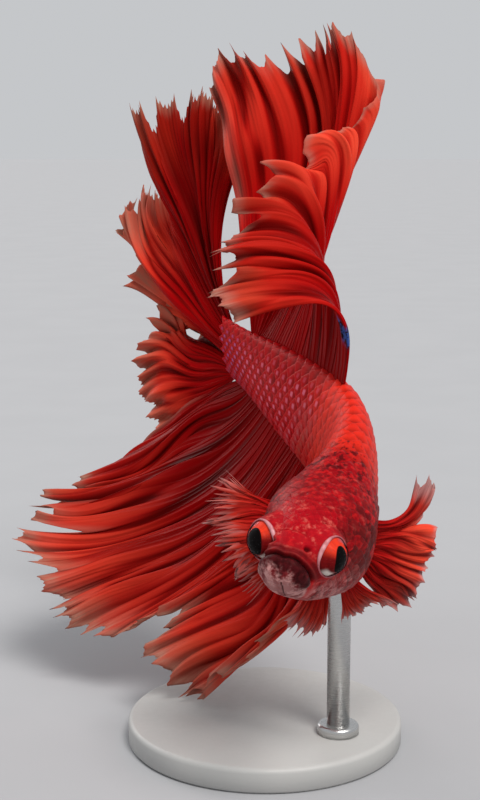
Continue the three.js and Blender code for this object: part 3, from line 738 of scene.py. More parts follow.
def relief(s, angle, share=1):
    """How far the skin stands out from the plain body, in millimetres."""
    _, up = section_place(s, angle, share)
    turn = np.radians(angle)
    along, above = above_mouth(s, angle, share)
    near_mouth = fade(along, 1.32, 1.02) * fade(s, 4.2, 3.2)
    bag = fade(along, 0, 0.8)
    lips = 0.08 * bump(above - 0.24, 0.13) - 0.02 * bump(above - 0.46, 0.06)
    lips += 0.05 * bump(above - 0.7, 0.2) - 0.02 * bump(above - 1.00, 0.1)
    lips += (0.1 + 0.08 * bag) * bump(above + 0.5, 0.3)
    groove = -0.3 * bump(above, 0.13)
    edge = s - gill_edge(angle)
    cover = 0.1 * fade(edge, -3.5, -0.6) * fade(edge, 0.06, -0.1) - 0.08 * bump(edge - 0.22, 0.16)
    cover *= fade(np.sin(turn), 0.75, 0.35)
    cheek = -0.07 * bump(s - 6.9 - 0.8 * np.cos(turn) ** 2, 0.22) * bump(up + 0.6, 2.2)
    cheek += -0.05 * bump(s - 5.4 + 0.5 * up, 0.16) * bump(up + 1.6, 1.2)
    brow = 0.1 * bump(s - EYE_S, 1.1) * bump(from_back(angle) - 48, 13)
    nostril = nostril_distance(s, angle)
    pits = 0.07 * bump(nostril - 0.32, 0.12) - 0.22 * bump(nostril, 0.16)
    return (lips + groove) * near_mouth + cover + cheek + brow + pits - 0.15 * chin_slit(s, angle, share)


def eye_frame(side):
    """The eye's middle and the way it looks, in the world; side is 1 for the left and -1 for the right."""
    return point_at(EYE_S, side * EYE_SIDE, EYE_UP), unit(EYE_GAZE[side])


def set_sockets(points):
    """Draws the skin up to each eye's lid, and behind the ball within the lid."""
    for side in (1, -1):
        middle, axis = eye_frame(side)
        away = points - middle
        depth = away @ axis
        flat = away - depth[..., None] * axis
        reach = np.linalg.norm(flat, axis=-1)
        lid_depth = math.sqrt(EYE_RADIUS**2 - LID_RADIUS**2) + LID_PROUD
        near = fade(depth, -1.7, -0.9) * (reach < LID_RADIUS + LID_REACH)
        slope = np.where(depth > lid_depth, LIP_REACH, LID_REACH)
        lid = mix(lid_depth, depth, ease((reach - LID_RADIUS) / slope))
        behind = -np.sqrt(np.maximum((EYE_RADIUS + SOCKET_GAP) ** 2 - reach**2, 0.01))
        wanted = np.where(reach < LID_RADIUS - 0.05, behind, lid)
        points = points + (near * (wanted - depth))[..., None] * axis
    return points


def surface_normals(s, angle):
    """Outward unit normals of the body's plain surface."""
    d = 0.05
    ahead = body_point(s + d, angle) - body_point(s - d, angle)
    round_ = body_point(s, angle + 1) - body_point(s, angle - 1)
    return unit(np.cross(ahead, round_))


def coat_point(s, angle, height):
    """A point over the skin, "height" above the CAD solids' surface, lips followed."""
    bare = body_point(s, angle)
    s, angle = np.broadcast_arrays(np.asarray(s, float), np.asarray(angle, float))
    inside = np.clip(s, 0.1, BODY_LENGTH)
    return bare + surface_normals(inside, angle) * (relief(s, angle) + height)[..., None]


# ---- the skin ----


def ring_places():
    """The rings as (s, share): out across the snout's end, then along the body, closest on the head."""
    share = np.linspace(0.04, 1, SNOUT_RINGS, endpoint=False)
    t = np.linspace(0, 1, SKIN_RINGS)
    s = np.append(COAT_DEPTH * share**4, COAT_DEPTH + (BODY_LENGTH - COAT_DEPTH) * mix(t**2, t, 0.22))
    return s, np.append(share, np.ones(SKIN_RINGS))


def make_skin(material):
    s, share = (values[:, None] for values in ring_places())
    angle = np.linspace(0, 360, SKIN_SPOKES, endpoint=False)[None, :]
    s, share, angle = np.broadcast_arrays(s, share, angle)
    side = coat_point(s, angle, -COAT_DEPTH)
    ahead = unit(point_at(0, 0, 0) - point_at(0.1, 0, 0))
    end = body_point(s, angle, share, -COAT_DEPTH) + ahead * relief(s, angle, share)[..., None]
    rings = set_sockets(np.where((share < 1)[..., None], end, side))
    skin = make_closed("skin", rings, zones(s, angle, share), material)
    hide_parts("head", "lower_jaw", "trunk", "tail_stalk")


# ---- the scales ----

SCALE_ROWS, SCALE_COLUMNS, SCALE_SEED = 9, 8, 7
SIZE_SPREAD, TILT_SPREAD = (0.94, 1.06), (0.85, 1.15)
# Shares of a scale's length: where it is widest, how far its corners fall back, where it meets the skin.
SCALE_WIDEST, SCALE_ROUNDING, SCALE_HINGE = 0.42, 0.28, 0.4
SCALE_SUNK = (0.095, 0.05)  # how far the scales lie inside the CAD surface, on the face and on the trunk
BARE_ROUND_EYE, BARE_ROUND_NOSTRIL = 0.45, 0.6
UV_MARGIN, UV_PATCH = 0.05, 0.003
# Bands of scales: start, end, scales in a ring, distance between rings, a scale's length.
FACE_BAND, CROWN_BAND = (2.6, 5.6, 30, 0.26, 0.72), (5.7, 9.4, 20, 0.42, 1.15)
TRUNK_BAND, TAIL_BAND = (9.5, 30.9, 13, 0.65, 1.75), (31.2, 43.4, 12, 0.65, 1.75)


def even_angles(s, count, shift):
    """Angles round the section at s, evenly spaced along its outline."""
    fine = np.linspace(-90, 270, 721)
    left, up = section_place(np.full_like(fine, s), fine)
    run = np.append(0, np.cumsum(np.hypot(np.diff(left), np.diff(up))))
    wanted = (np.arange(count) + shift) / count * run[-1]
    return np.interp(wanted, run, fine), run[-1]


def scale_places(start, end, count, spacing, length):
    """Roots of scales as (s, angle, length, breadth), in rings that are staggered like bricks."""
    places = []
    for ring, s in enumerate(np.arange(start, end, spacing)):
        angles, outline = even_angles(s, count, 0.5 * (ring % 2))
        places += [(s, angle, length, outline / count) for angle in angles]
    return np.array(places)


def bare_face(s, angle):
    """True where no scale grows: the lips, chin, eyes and nostrils."""
    _, up = section_place(s, angle)
    along, above = mouth_place(s, up)
    lips = (along < 1.35) & (np.abs(above) < 1.3)
    jaw = (s < 4.4) & (above < 0.2)
    point = body_point(s, angle)
    eyes = np.zeros(s.shape, bool)
    for side in (1, -1):
        middle, _ = eye_frame(side)
        eyes |= np.linalg.norm(point - middle, axis=-1) < EYE_RADIUS + BARE_ROUND_EYE
    nostrils = nostril_distance(s, angle) < BARE_ROUND_NOSTRIL
    return lips | jaw | eyes | nostrils


def make_scales(name, places, material):
    """Thin closed plates that overlap like roof tiles, with their free edges to the tail, as one mesh."""
    rng = np.random.default_rng(SCALE_SEED)
    s0, angle0, length, gap_round = (places[:, k][:, None, None] for k in range(4))
    size = rng.uniform(*SIZE_SPREAD, s0.shape)
    out = np.linspace(0, 1, SCALE_ROWS)[None, :, None]
    across = np.linspace(-1, 1, SCALE_COLUMNS)[None, None, :]
    # The plate is narrow at its root, widest near its middle and round at its free edge.
    outline = np.sqrt(np.clip(1 - ((out - SCALE_WIDEST) / 0.62) ** 4, 0.02, 1))
    breadth = 0.5 * gap_round * SCALE_OVERLAP * size * outline
    s = s0 + length * size * (out - SCALE_ROUNDING * across**2 * out**2)
    angle = angle0 + breadth * across * degrees_to_a_millimetre(s0, angle0)
    tilt = rng.uniform(*TILT_SPREAD, s0.shape)
    dome = 1 - 0.9 * across**2
    lift = SCALE_LIFT * mix(0.55, 1, fade(s, 6, 13))
    height = lift * length * tilt * (out - SCALE_HINGE) * dome + 0.02 * (dome - 1)
    height = height - mix(*SCALE_SUNK, fade(s, 3.5, 8.5))
    s = np.clip(s, 0.2, BODY_LENGTH + 0.6)
    top = coat_point(s, angle, height)
    bottom = coat_point(s, angle, height - SCALE_THICKNESS)
    each = SCALE_ROWS * SCALE_COLUMNS
    points = np.concatenate([top.reshape(len(places), each, 3), bottom.reshape(len(places), each, 3)], 1)
    plate = shell_faces(SCALE_ROWS, SCALE_COLUMNS, each)[:, ::-1]
    faces = plate[None] + (np.arange(len(places)) * 2 * each)[:, None, None]
    marks = {}
    for key, value in zones(places[:, 0], places[:, 1]).items():
        marks[key] = np.repeat(np.broadcast_to(value, len(places)), 2 * each)
    shape = (len(places), SCALE_ROWS, SCALE_COLUMNS)
    for key, value in (("scale_out", out), ("scale_across", across)):
        flat = np.broadcast_to(value, shape).reshape(len(places), each)
        marks[key] = np.concatenate([flat, flat], 1).ravel()
    # Each scale has a small patch of the map, at its own place along and round the body.
    patch = np.stack([marks["scale_out"] - 0.5, marks["scale_across"] / 2], -1) * UV_PATCH
    uv = UV_MARGIN + (1 - 2 * UV_MARGIN) * np.stack([marks["s"], marks["round"]], -1) + patch
    make_piece(name, points.reshape(-1, 3), faces.reshape(-1, 4), material, marks, uv)


def degrees_to_a_millimetre(s, angle):
    """Degrees of angle for a millimetre round the section."""
    d = 0.5
    step = body_point(s, angle + d) - body_point(s, angle - d)
    return 2 * d / np.maximum(np.linalg.norm(step, axis=-1), 1e-3)


def make_coat(material):
    head = np.vstack([scale_places(*FACE_BAND), scale_places(*CROWN_BAND)])
    head = head[~bare_face(head[:, 0], head[:, 1])]
    make_scales("head_scales", head, material)
    make_scales("trunk_scales", scale_places(*TRUNK_BAND), material)
    make_scales("tail_scales", scale_places(*TAIL_BAND), material)


# ---- fins ----

FIRST_FORK, SECOND_FORK = (0.1, 0.45), (0.45, 0.8)  # where along a ray its branches part


def pleat_wave(fin, u, v):
    return fin["pleat_depth"] * v * wave(fin["pleats"] * u)


def fin_middle(fin, u, v):
    (s0, angle0), (s1, angle1) = fin["root"]
    ray = smooth_curve(fin["rays"], u)
    root = body_point(mix(s0, s1, u), mix(angle0, angle1, u), FIN_ROOT_DEPTH)
    return root + ray[..., :3] * v[..., None] + ray[..., 3:] * (4 * v * (1 - v))[..., None]


def fold_direction(fin, u, v):
    """The way the folds stand off: the sheet's normal, evened out so that sharp turns make no loops."""
    d = 0.035
    across = fin_middle(fin, np.minimum(u + d, 1), v) - fin_middle(fin, np.maximum(u - d, 0), v)
    outward = fin_middle(fin, u, v + d) - fin_middle(fin, u, v - d)
    return unit(np.cross(across, outward))


def grid_normals(points):
    across = np.gradient(points, axis=1)
    outward = np.gradient(points, axis=0)
    return unit(np.cross(across, outward))


def jitter(number, seed):
    """A repeatable value from 0 to 1 for each whole number, which looks random."""
    return np.abs(np.sin(number * 12.9898 + seed * 78.233) * 43758.5453) % 1


def even_along_margin(fin, count):
    """Places along the root whose rays end evenly along the margin, and how far along it they end."""
    fine = np.linspace(0, 1, 801)
    steps = np.linalg.norm(np.diff(fin_middle(fin, fine, np.full_like(fine, 0.9)), axis=0), axis=-1)
    run = np.append(0, np.cumsum(steps)) / steps.sum()
    even = np.linspace(0, 1, count)
    return np.interp(even, mix(run, fine, 0.25), fine), even


def branch_rays(phase, v):
    """1 on the middle of a bony ray and 0 between rays. Each ray forks twice on its way to the margin."""
    w = phase % 1 - 0.5
    first = 0.25 * fade(v, *FIRST_FORK)
    second = 0.125 * fade(v, *SECOND_FORK)
    nearest = np.full(w.shape, 9)
    for a in (-1, 1):
        for b in (-1, 1):
            nearest = np.minimum(nearest, np.abs(w - a * first - b * second))
    return bump(nearest, mix(0.11, 0.055, v))


def cusps(phase, power):
    """0 at each whole phase, in a sharp point, and 1 half way between."""
    return np.abs(np.sin(np.pi * phase)) ** power


def share_at(rows, u):
    """The share that rows of [place along the root, share] give at u."""
    return smooth_curve(rows, u)[..., 0]


def margin_reach(style, u, phase):
    """How far the fin reaches at u: the rays' ends run out to points and the web falls back between them."""
    uneven = mix(0.25, 1.75, jitter(np.floor(phase), style["seed"]))
    coarse = cusps(phase, style["point_power"])
    fine = cusps(phase * style["hairs"], 0.8)
    notches = sum(depth * bump(u - place, width) for place, depth, width in style["notches"])
    return 1.03 - style["point_depth"] * uneven * coarse - style["fringe"] * fine - notches


# How each fin is finished. "rays" counts the rays that end in points. "creased", "frill", "painted_light",
# "shadow" and "pale" are rows [place along the root, share]: how creased and ruffled the fin is there, how
# much painted light and painted shadow lie on it, and how pale-edged it is. "edge" is the frill down the last
# ray. "notches" are (place, depth, width).
EVEN = [[0, 1], [1, 1]]
WEB = {
    "rows": 64, "hairs": 3, "sway": 0.02, "edge": 0, "thick": 0.06, "ray_thick": 0.04,
    "creased": EVEN, "frill": EVEN, "painted_light": [[0, 0.4], [1, 0.4]], "notches": [],
}
FIN_STYLES = {
    "dorsal": WEB | {
        "columns": 660, "rays": 38, "seed": 5, "point_depth": 0.065, "point_power": 0.7,
        "fringe": 0.006, "hairs": 4, "broad": 0.66, "ripple": 0.19, "ruffle": 0.48, "curl": 0.2,
        "hook": 0.014, "edge": 0.9, "sway": 0.014, "ray_thick": 0.03,
        "creased": [[0, 1], [0.4, 1], [0.47, 0.35], [0.76, 0.35], [0.84, 1], [1, 1]],
        "frill": [[0, 1.1], [0.42, 0.9], [0.5, 0.4], [0.75, 0.45], [0.84, 1], [1, 1.6]],
        "painted_light": [[0, 0.3], [0.15, 0.2], [0.4, 0.5], [0.5, 0.9], [0.74, 1], [0.8, 0.2], [0.9, 0.3], [1, 0.6]],
        "shadow": [[0, 0.3], [0.3, 0.45], [0.42, 0.3], [0.5, 0], [0.76, 0], [0.82, 0.25], [1, 0.1]],
        "pale": [[0, 0.15], [0.12, 0.15], [0.2, 0.1], [0.4, 0.2], [0.5, 0.3], [0.6, 0.2], [0.75, 0.1],
                 [1, 0.2]],
        "notches": [(0.3, 0.1, 0.01), (0.615, 0.05, 0.01), (0.925, 0.05, 0.006)],
    },
    "tail": WEB | {
        "columns": 700, "rays": 40, "seed": 3, "point_depth": 0.08, "point_power": 0.75,
        "fringe": 0.034, "hairs": 5, "broad": 0.55, "ripple": 0.3, "ruffle": 0.55, "curl": 0.25,
        "hook": 0.014, "edge": 0.4,
        "creased": [[0, 1], [0.42, 1], [0.5, 0.6], [0.72, 0.6], [0.78, 0.8], [1, 0.8]],
        "frill": [[0, 0.6], [0.42, 0.8], [0.5, 2.2], [0.56, 3.6], [0.7, 3.6], [0.8, 3.4], [1, 3.4]],
        "painted_light": [[0, 0], [0.4, 0.1], [0.46, 1], [1, 1]],
        "shadow": [[0, 0.55], [0.38, 0.55], [0.44, 0], [0.72, 0], [0.8, 0.1], [1, 0]],
        "pale": [[0, 0.1], [0.4, 0.3], [0.48, 0.9], [1, 1]],
        "notches": [(0.13, 0.06, 0.01), (0.33, 0.03, 0.01), (0.425, 0.2, 0.014), (0.55, 0.08, 0.01),
                    (0.62, 0.1, 0.01), (0.87, 0.08, 0.01)],
    },
    "anal": WEB | {
        "columns": 700, "rays": 46, "seed": 27, "point_depth": 0.05, "point_power": 0.75,
        "fringe": 0.008, "hairs": 4, "broad": 0.5, "ripple": 0.4, "ruffle": 0.42, "curl": 0.15,
        "hook": 0.012, "edge": 0.3, "sway": 0.03,
        "creased": [[0, 0.8], [1, 0.8]],
        "frill": [[0, 0.7], [0.4, 1], [1, 1]],
        "painted_light": [[0, 0.3], [0.1, 0.5], [0.25, 0.5], [0.35, 0.3], [0.45, 0.5], [0.66, 0.7], [0.8, 0.4],
                 [1, 0.1]],
        "shadow": [[0, 0.1], [0.3, 0.25], [0.5, 0.3], [0.65, 0.15], [0.8, 0.35], [1, 0.4]],
        "pale": [[0, 0.1], [0.1, 0.4], [0.3, 0.5], [0.65, 0.5], [0.8, 0.3], [1, 0.2]],
        "notches": [(0.105, 0.05, 0.008), (0.52, 0.05, 0.008), (0.688, 0.16, 0.007), (0.778, 0.22, 0.008),
                    (0.865, 0.14, 0.01), (0.96, 0.06, 0.01)],
    },
    "fan": WEB | {
        "columns": 520, "rows": 48, "rays": 15, "seed": 8, "point_depth": 0.06, "point_power": 0.9,
        "fringe": 0.24, "broad": 0.1, "ripple": 0.1, "ruffle": 0.1, "curl": 0.9, "hook": 0.05,
        "thick": 0.03, "ray_thick": 0.045,
        "shadow": [[0, 0], [1, 0.2]], "pale": [[0, 0.4], [1, 0.5]],
        "notches": [(0.16, 0.1, 0.02), (0.43, 0.12, 0.02), (0.66, 0.1, 0.02), (0.87, 0.12, 0.02)],
    },
    "blade": WEB | {
        "columns": 340, "rows": 48, "rays": 17, "seed": 4, "point_depth": 0.08, "point_power": 0.8,
        "fringe": 0.02, "broad": 0.3, "ripple": 0.16, "ruffle": 0.3, "curl": 0.2, "hook": 0.03,
        "edge": 0.1, "thick": 0.045,
        "creased": [[0, 1], [0.28, 0.8], [0.38, 0.3], [0.64, 0.3], [0.75, 1], [1, 1]],
        "frill": [[0, 0.6], [0.2, 0.6], [0.4, 0.8], [1, 1]],
        "painted_light": [[0, 0.2], [0.25, 0.5], [0.36, 1], [0.66, 1], [0.78, 0.4], [1, 0.2]],
        "shadow": [[0, 0.1], [0.25, 0.3], [0.34, 0], [0.66, 0], [0.8, 0.4], [1, 0.4]],
        "pale": [[0, 0.9], [0.2, 0.9], [0.35, 0.1], [0.8, 0.2], [1, 0.6]], "notches": [(0.3, 0.1, 0.02)],
    },
    "pelvic": WEB | {
        "columns": 240, "rows": 48, "rays": 10, "seed": 6, "point_depth": 0.1, "point_power": 0.9,
        "fringe": 0.03, "broad": 0.14, "ripple": 0.16, "ruffle": 0.15, "curl": 0.15, "hook": 0.03,
        "thick": 0.045, "shadow": [[0, 0.2], [1, 0.2]], "pale": [[0, 0.6], [1, 0.6]],
    },
}
# How each kind of fin is coloured: stops of (place from root to margin, colour), the colour of the tips,
# and how strongly the rays are drawn.
# The stops grow lighter and more orange towards the margin: partly the fins' own colour and partly painted
# light, light that shines through the thin margin.
FIN_COLOURS = {
    "dorsal": {
        "stops": [
            (0, (0.46, 0.001, 0.003)), (0.35, (0.56, 0.001, 0.003)), (0.65, (0.68, 0.002, 0.004)),
            (0.88, (0.76, 0.012, 0.008)), (1, (0.72, 0.056, 0.026)),
        ],
        "tip": (0.5, 0.24, 0.18), "lines": 0.35, "blue": True,
    },
    "tail": {
        "stops": [
            (0, (0.5, 0.001, 0.003)), (0.35, (0.48, 0.001, 0.003)), (0.65, (0.6, 0.002, 0.004)),
            (0.88, (0.76, 0.028, 0.012)), (1, (0.7, 0.09, 0.045)),
        ],
        "tip": (0.46, 0.25, 0.17), "lines": 0.6,
    },
    "anal": {
        "stops": [
            (0, (0.43, 0.001, 0.003)), (0.45, (0.43, 0.001, 0.003)), (0.7, (0.52, 0.002, 0.005)),
            (0.88, (0.7, 0.022, 0.014)), (1, (0.66, 0.08, 0.04)),
        ],
        "tip": (0.48, 0.26, 0.19), "lines": 0.5,
    },
    "small": {
        "stops": [
            (0, (0.5, 0.004, 0.006)), (0.35, (0.58, 0.01, 0.01)), (0.62, (0.54, 0.02, 0.016)),
            (0.82, (0.54, 0.07, 0.055)), (1, (0.6, 0.24, 0.22)),
        ],
        "tip": (0.62, 0.36, 0.34), "lines": 1,
    },
}
# Each fin's node, style, colours and slot.
FIN_LOOKS = [
    ("dorsal_fin", "dorsal", "dorsal", "fin"),
    ("tail_fin", "tail", "tail", "fin"),
    ("anal_fin", "anal", "anal", "fin"),
    ("pectoral_fin_right", "fan", "small", "small_fin"),
    ("pectoral_fin_left", "blade", "small", "small_fin"),
    ("pelvic_fin_left", "pelvic", "small", "small_fin"),
    ("pelvic_fin_right", "pelvic", "small", "small_fin"),
]


def fin_folds(style, u, phase, v):
    """How far the sheet stands off its plain shape, in broad folds, creased webs and a ruffled margin, and
    how far the margin curls. Folds of several widths drift in and out of step, so that they run together
    and part again."""
    drift = 0.3 * wave(1.3 * u + 0.2) + 0.16 * wave(3.1 * u + 0.6 + 0.4 * v)
    drift = drift + 0.09 * wave(5.3 * u - 0.8 * v)
    uneven = phase + 0.8 * wave(0.143 * phase + 0.3) + 0.5 * wave(0.317 * phase + 0.7 + 0.3 * v)
    depth = 0.55 + 0.3 * wave(2.1 * u + 0.35 + 0.3 * v) + 0.25 * wave(0.191 * phase + 0.4 * v)
    broad = 0.62 * wave(0.19 * uneven + 1.8 * drift) + 0.38 * wave(0.43 * uneven + 0.5 * v - 2.2 * drift)
    crease = 0.6 * cusps(0.37 * uneven + 1.5 * drift, 0.6) + 0.4 * cusps(0.9 * uneven - 1.1 * drift, 0.8)
    creased = style["ripple"] * share_at(style["creased"], u) * v**0.8 * depth
    folds = style["broad"] * v**1.1 * broad + creased * (2 * crease - 1.2)
    swell = 0.6 * wave(0.55 * uneven + 2.2 * drift) + 0.4 * wave(1.15 * phase - 1.5 * drift)
    ruffle = style["ruffle"] * share_at(style["frill"], u) * v**4 * (0.5 + depth) * swell
    edge = style["edge"] * fade(u, 0.93, 1) * np.minimum(v, 0.6) * wave(2.6 * v + 0.1)
    curl = style["curl"] * v**9 * (0.5 + 0.5 * wave(5.3 * u + 0.4))
    return folds + ruffle + edge, curl


def fin_points(fin, style):
    """The fin's middle sheet with all its folds, as a grid of points, and where on the fin each point is."""
    u, even = even_along_margin(fin, style["columns"])
    share = np.linspace(0, 1, style["rows"])[:, None]
    u, phase, share = np.broadcast_arrays(u[None, :], even[None, :] * style["rays"], share)
    v = share * margin_reach(style, u, phase)
    # Towards the margin the rays' ends lean over to one side or the other.
    lean = style["hook"] * share**5 * (wave(2.7 * u + 0.1) + 0.6 * wave(6.1 * u + 0.4))
    swing = wave(1.1 * u + 0.75 * share) + 0.35 * wave(4.3 * u + 1.3 * share)
    lean = lean + style["sway"] * np.sin(np.pi * share) * swing
    leaning = np.clip(u + lean * np.minimum(1, 12 * u * (1 - u)), 0, 1)
    folds, curl = fin_folds(style, u, phase, v)
    fold = pleat_wave(fin, u, v) + folds + curl
    points = fin_middle(fin, leaning, v) + fold_direction(fin, u, v) * fold[..., None]
    return points, u, phase, v, share, folds


def height_among_folds(folds):
    """0 in the valleys between folds and 1 on their ridges, next to the folds' own mean round about."""
    wide = max(3, folds.shape[1] // 12)
    kernel = np.hanning(wide + 2)[1:-1]
    kernel = kernel / kernel.sum()
    padded = np.pad(folds, ((0, 0), (wide // 2, wide - 1 - wide // 2)), mode="edge")
    mean = np.array([np.convolve(row, kernel, mode="valid") for row in padded])
    spread = np.sqrt(np.mean((folds - mean) ** 2, axis=1, keepdims=True)) + 0.02
    return np.clip(0.5 + 0.3 * (folds - mean) / spread, 0, 1)


def make_fin(name, style, material):
    fin = FINS[name]
    points, u, phase, v, share, folds = fin_points(fin, style)
    ray = branch_rays(phase, v)
    thick = style["thick"] + style["ray_thick"] * ray * mix(1, 0.35, v)
    thick = thick * mix(1.6, 0.55, v) * fade(share, 1.02, 0.94)
    offset = grid_normals(points) * thick[..., None]
    both = np.concatenate([(points + offset).reshape(-1, 3), (points - offset).reshape(-1, 3)])
    faces = shell_faces(style["rows"], style["columns"], style["rows"] * style["columns"])
    marks = {
        "fin_out": v,
        "fin_along": phase / style["rays"],
        "fin_ray": ray,
        "fin_tip": fin_tips(style, u, v, share),
        # A blue-black patch low on the dorsal fin's first rays.
        "fin_blue": fade(u, 0.075, 0.045) * fade(v, 0.18, 0.22) * fade(v, 0.36, 0.3),
        # Painted light: where the fin is lit and light shines through it towards the margin.
        "fin_painted_light": share_at(style["painted_light"], u) * fade(v, 0.35, 0.85),
        # Painted shadow on the parts of the fin that lie in shade.
        "fin_shadow": share_at(style["shadow"], u),
    }
    marks = {key: np.concatenate([value.ravel(), value.ravel()]) for key, value in marks.items()}
    # The fold height drives painted shade in the fold valleys and painted light on the ridges; the back face
    # has it reversed.
    front_fold = height_among_folds(folds).ravel()
    marks["fin_fold"] = np.concatenate([front_fold, 1 - front_fold])
    piece = make_piece(name + "_web", both, faces, material, marks)
    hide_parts(name)


def fin_tips(style, u, v, share):
    """How much of the tips' pale colour lies on the points, the margin and the last ray."""
    points = fade(share, 0.93, 1) * fade(np.max(v, axis=0, keepdims=True), 0.93, 1)
    pale = share_at(style["pale"], u)
    margin = 0.85 * pale * fade(share, mix(0.94, 0.7, pale), mix(1, 0.95, pale))
    last_ray = 0.56 * fade(u, 0.985, 1) * fade(v, 0.3, 0.5) * (style["edge"] > 0)
    return np.minimum(1, points + margin + last_ray)


def make_fins():
    materials = {name: fin_material(name + "_web", **colours) for name, colours in FIN_COLOURS.items()}
    for name, style, colours, slot in FIN_LOOKS:
        make_fin(name, FIN_STYLES[style], materials[colours])


# ---- eyes ----

EYE_RINGS, EYE_SPOKES = 72, 96
CORNEA_RINGS, CORNEA_SPOKES = 24, 72
LID_SPOKES, LID_STEPS = 128, 20
# In degrees from the eye's axis: the pupil is an upright oval, and the iris a shallow dish round it.
PUPIL_HIGH, PUPIL_WIDE, CORNEA_EDGE, DISH_EDGE = 40, {1: 22, -1: 30}, 74, 56
DISH_DEPTH = 0.07
LID_BROADEST = 52  # degrees from the top of the lid towards the snout

IRIS_CRIMSON, IRIS_ORANGE = (0.13, 0.003, 0.004), (0.74, 0.042, 0.016)
IRIS_FIBRE = (0.26, 0.008, 0.008)
IRIS_GLEAM, IRIS_REAR = (0.72, 0.62, 0.56), (0.34, 0.1, 0.13)
PUPIL_BLACK = (0.003, 0.002, 0.002)
CORNEA_SHINE = (0.3, 0.3, 0.31)
LID_PINK, LID_CRIMSON, LID_MOTTLE = (0.4, 0.11, 0.13), (0.26, 0.012, 0.018), (0.3, 0.02, 0.025)


def eye_material():
    """A dark pupil in an iris that is orange above and crimson below, with a pale gleam low in front."""
    shader = Shader("eye_iris")
    mark, span = shader.mark, shader.span
    out, high, front = mark("eye_out"), mark("eye_high"), mark("eye_front")
    fibres = shader.noise(1, 4, 0.6, shader.combine(mark("eye_turn") * 26, out * 3))
    low_in_front = span(high, -0.45, -0.8) * span(front, 0, 0.4)
    iris = shader.layers(
        IRIS_CRIMSON,
        (span(high, 0.1, 0.92), IRIS_ORANGE),
        (span(fibres, 0.35, 0.7, 0, 0.35), IRIS_FIBRE),
        (low_in_front * span(out, 0.42, 0.54), IRIS_GLEAM),
        (span(front, -0.1, -0.7, 0, 0.8) * span(out, 0.5, 0.58), IRIS_REAR),
        (span(out, 0.8, 0.88), PALE_RIM),
    )
    colour = shader.blend(span(mark("eye_pupil"), -0.012, 0.012), PUPIL_BLACK, iris)
    normal = shader.bump(fibres, 0.00003, 0.3)
    return shader.finish(shader.surface(colour, fibres, (0.35, 0.5), normal, Specular_IOR_Level=0.04))


def cornea_material():
    """Clear and glossy: it only adds its reflections."""
    shader = Shader("eye_cornea")
    roughness = shader.span(shader.noise(3000, 2), 0.3, 0.7, 0.03, 0.06)
    clear = shader.node("ShaderNodeBsdfTransparent", {})
    shine = shader.node("ShaderNodeBsdfGlossy", {"Color": CORNEA_SHINE, "Roughness": roughness})
    return shader.finish(shader.mix_surfaces(shader.node("ShaderNodeFresnel", {"IOR": 1.07}), clear, shine))


def lid_material():
    shader = Shader("eye_lid")
    mottle = shader.noise(2600, 3)
    colour = shader.layers(
        LID_PINK,
        (shader.mark("lid_broad"), PALE_RIM),
        (shader.span(shader.mark("lid_across"), 0.35, 0.9), LID_CRIMSON),
        (shader.span(mottle, 0.4, 0.65, 0, 0.5), LID_MOTTLE),
    )
    normal = shader.bump(mottle, 0.00003, 0.4)
    return shader.finish(shader.surface(colour, mottle, (0.4, 0.5), normal, Specular_IOR_Level=0.25))


def dome_points(middle, axes, radius, away, turn):
    """Points round an eye: "away" is the angle from the eye's axis and "turn" the way round it."""
    axis, up, across = axes
    offset = np.cos(away)[..., None] * axis + np.sin(away)[..., None] * around(turn, up, across)
    return middle + radius[..., None] * offset


def make_eyes():
    iris, cornea, lid = eye_material(), cornea_material(), lid_material()
    for side, name in ((1, "eye_left"), (-1, "eye_right")):
        middle, axis = eye_frame(side)
        up = unit(np.array([0, 0, 1]) - axis * axis[2])
        across = np.cross(axis, up)
        make_ball(name, side, middle, (axis, up, across), iris)
        make_cornea(name + "_cornea", middle, (axis, up, across), cornea)
        make_lid(name + "_lid", middle, (axis, up, across * side), lid)


def make_ball(name, side, middle, axes, material):
    degrees, turn = np.broadcast_arrays(np.linspace(0.5, 179.5, EYE_RINGS)[:, None], full_turn(EYE_SPOKES))
    dish = fade(degrees, PUPIL_HIGH - 3, PUPIL_HIGH + 5) * fade(degrees, CORNEA_EDGE, DISH_EDGE)
    radius = EYE_RADIUS - 0.05 - DISH_DEPTH * dish
    front = np.sin(turn) * side
    # The pupil is drawn out to a blunt point below and in front.
    pointed = np.maximum(0, -0.85 * np.cos(turn) + 0.5 * front) ** 4
    oval = 1 / np.hypot(np.cos(turn) / PUPIL_HIGH, np.sin(turn) / PUPIL_WIDE[side])
    marks = {
        "eye_out": degrees / 100,
        "eye_high": np.cos(turn),
        "eye_front": front,
        "eye_turn": np.abs(turn - np.pi) / np.pi,
        "eye_pupil": (degrees - oval - 3 * pointed) / 100,
    }
    rings = dome_points(middle, axes, radius, np.radians(degrees), turn)
    ball = make_closed(name + "_ball", rings, marks, material)
    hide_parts(name)


def make_cornea(name, middle, axes, material):
    """A clear dome over the front of the eye, open where it meets the ball."""
    away, turn = np.broadcast_arrays(
        np.radians(np.linspace(1, CORNEA_EDGE, CORNEA_RINGS))[:, None], full_turn(CORNEA_SPOKES))
    radius = EYE_RADIUS * mix(1.04, 0.985, ease(np.degrees(away) / CORNEA_EDGE))
    points = dome_points(middle, axes, radius, away, turn).reshape(-1, 3)
    faces = grid_faces(CORNEA_RINGS, CORNEA_SPOKES, wrap=True)[:, ::-1].tolist()
    faces.append(list(range(CORNEA_SPOKES)))
    make_piece(name, points, faces, material)


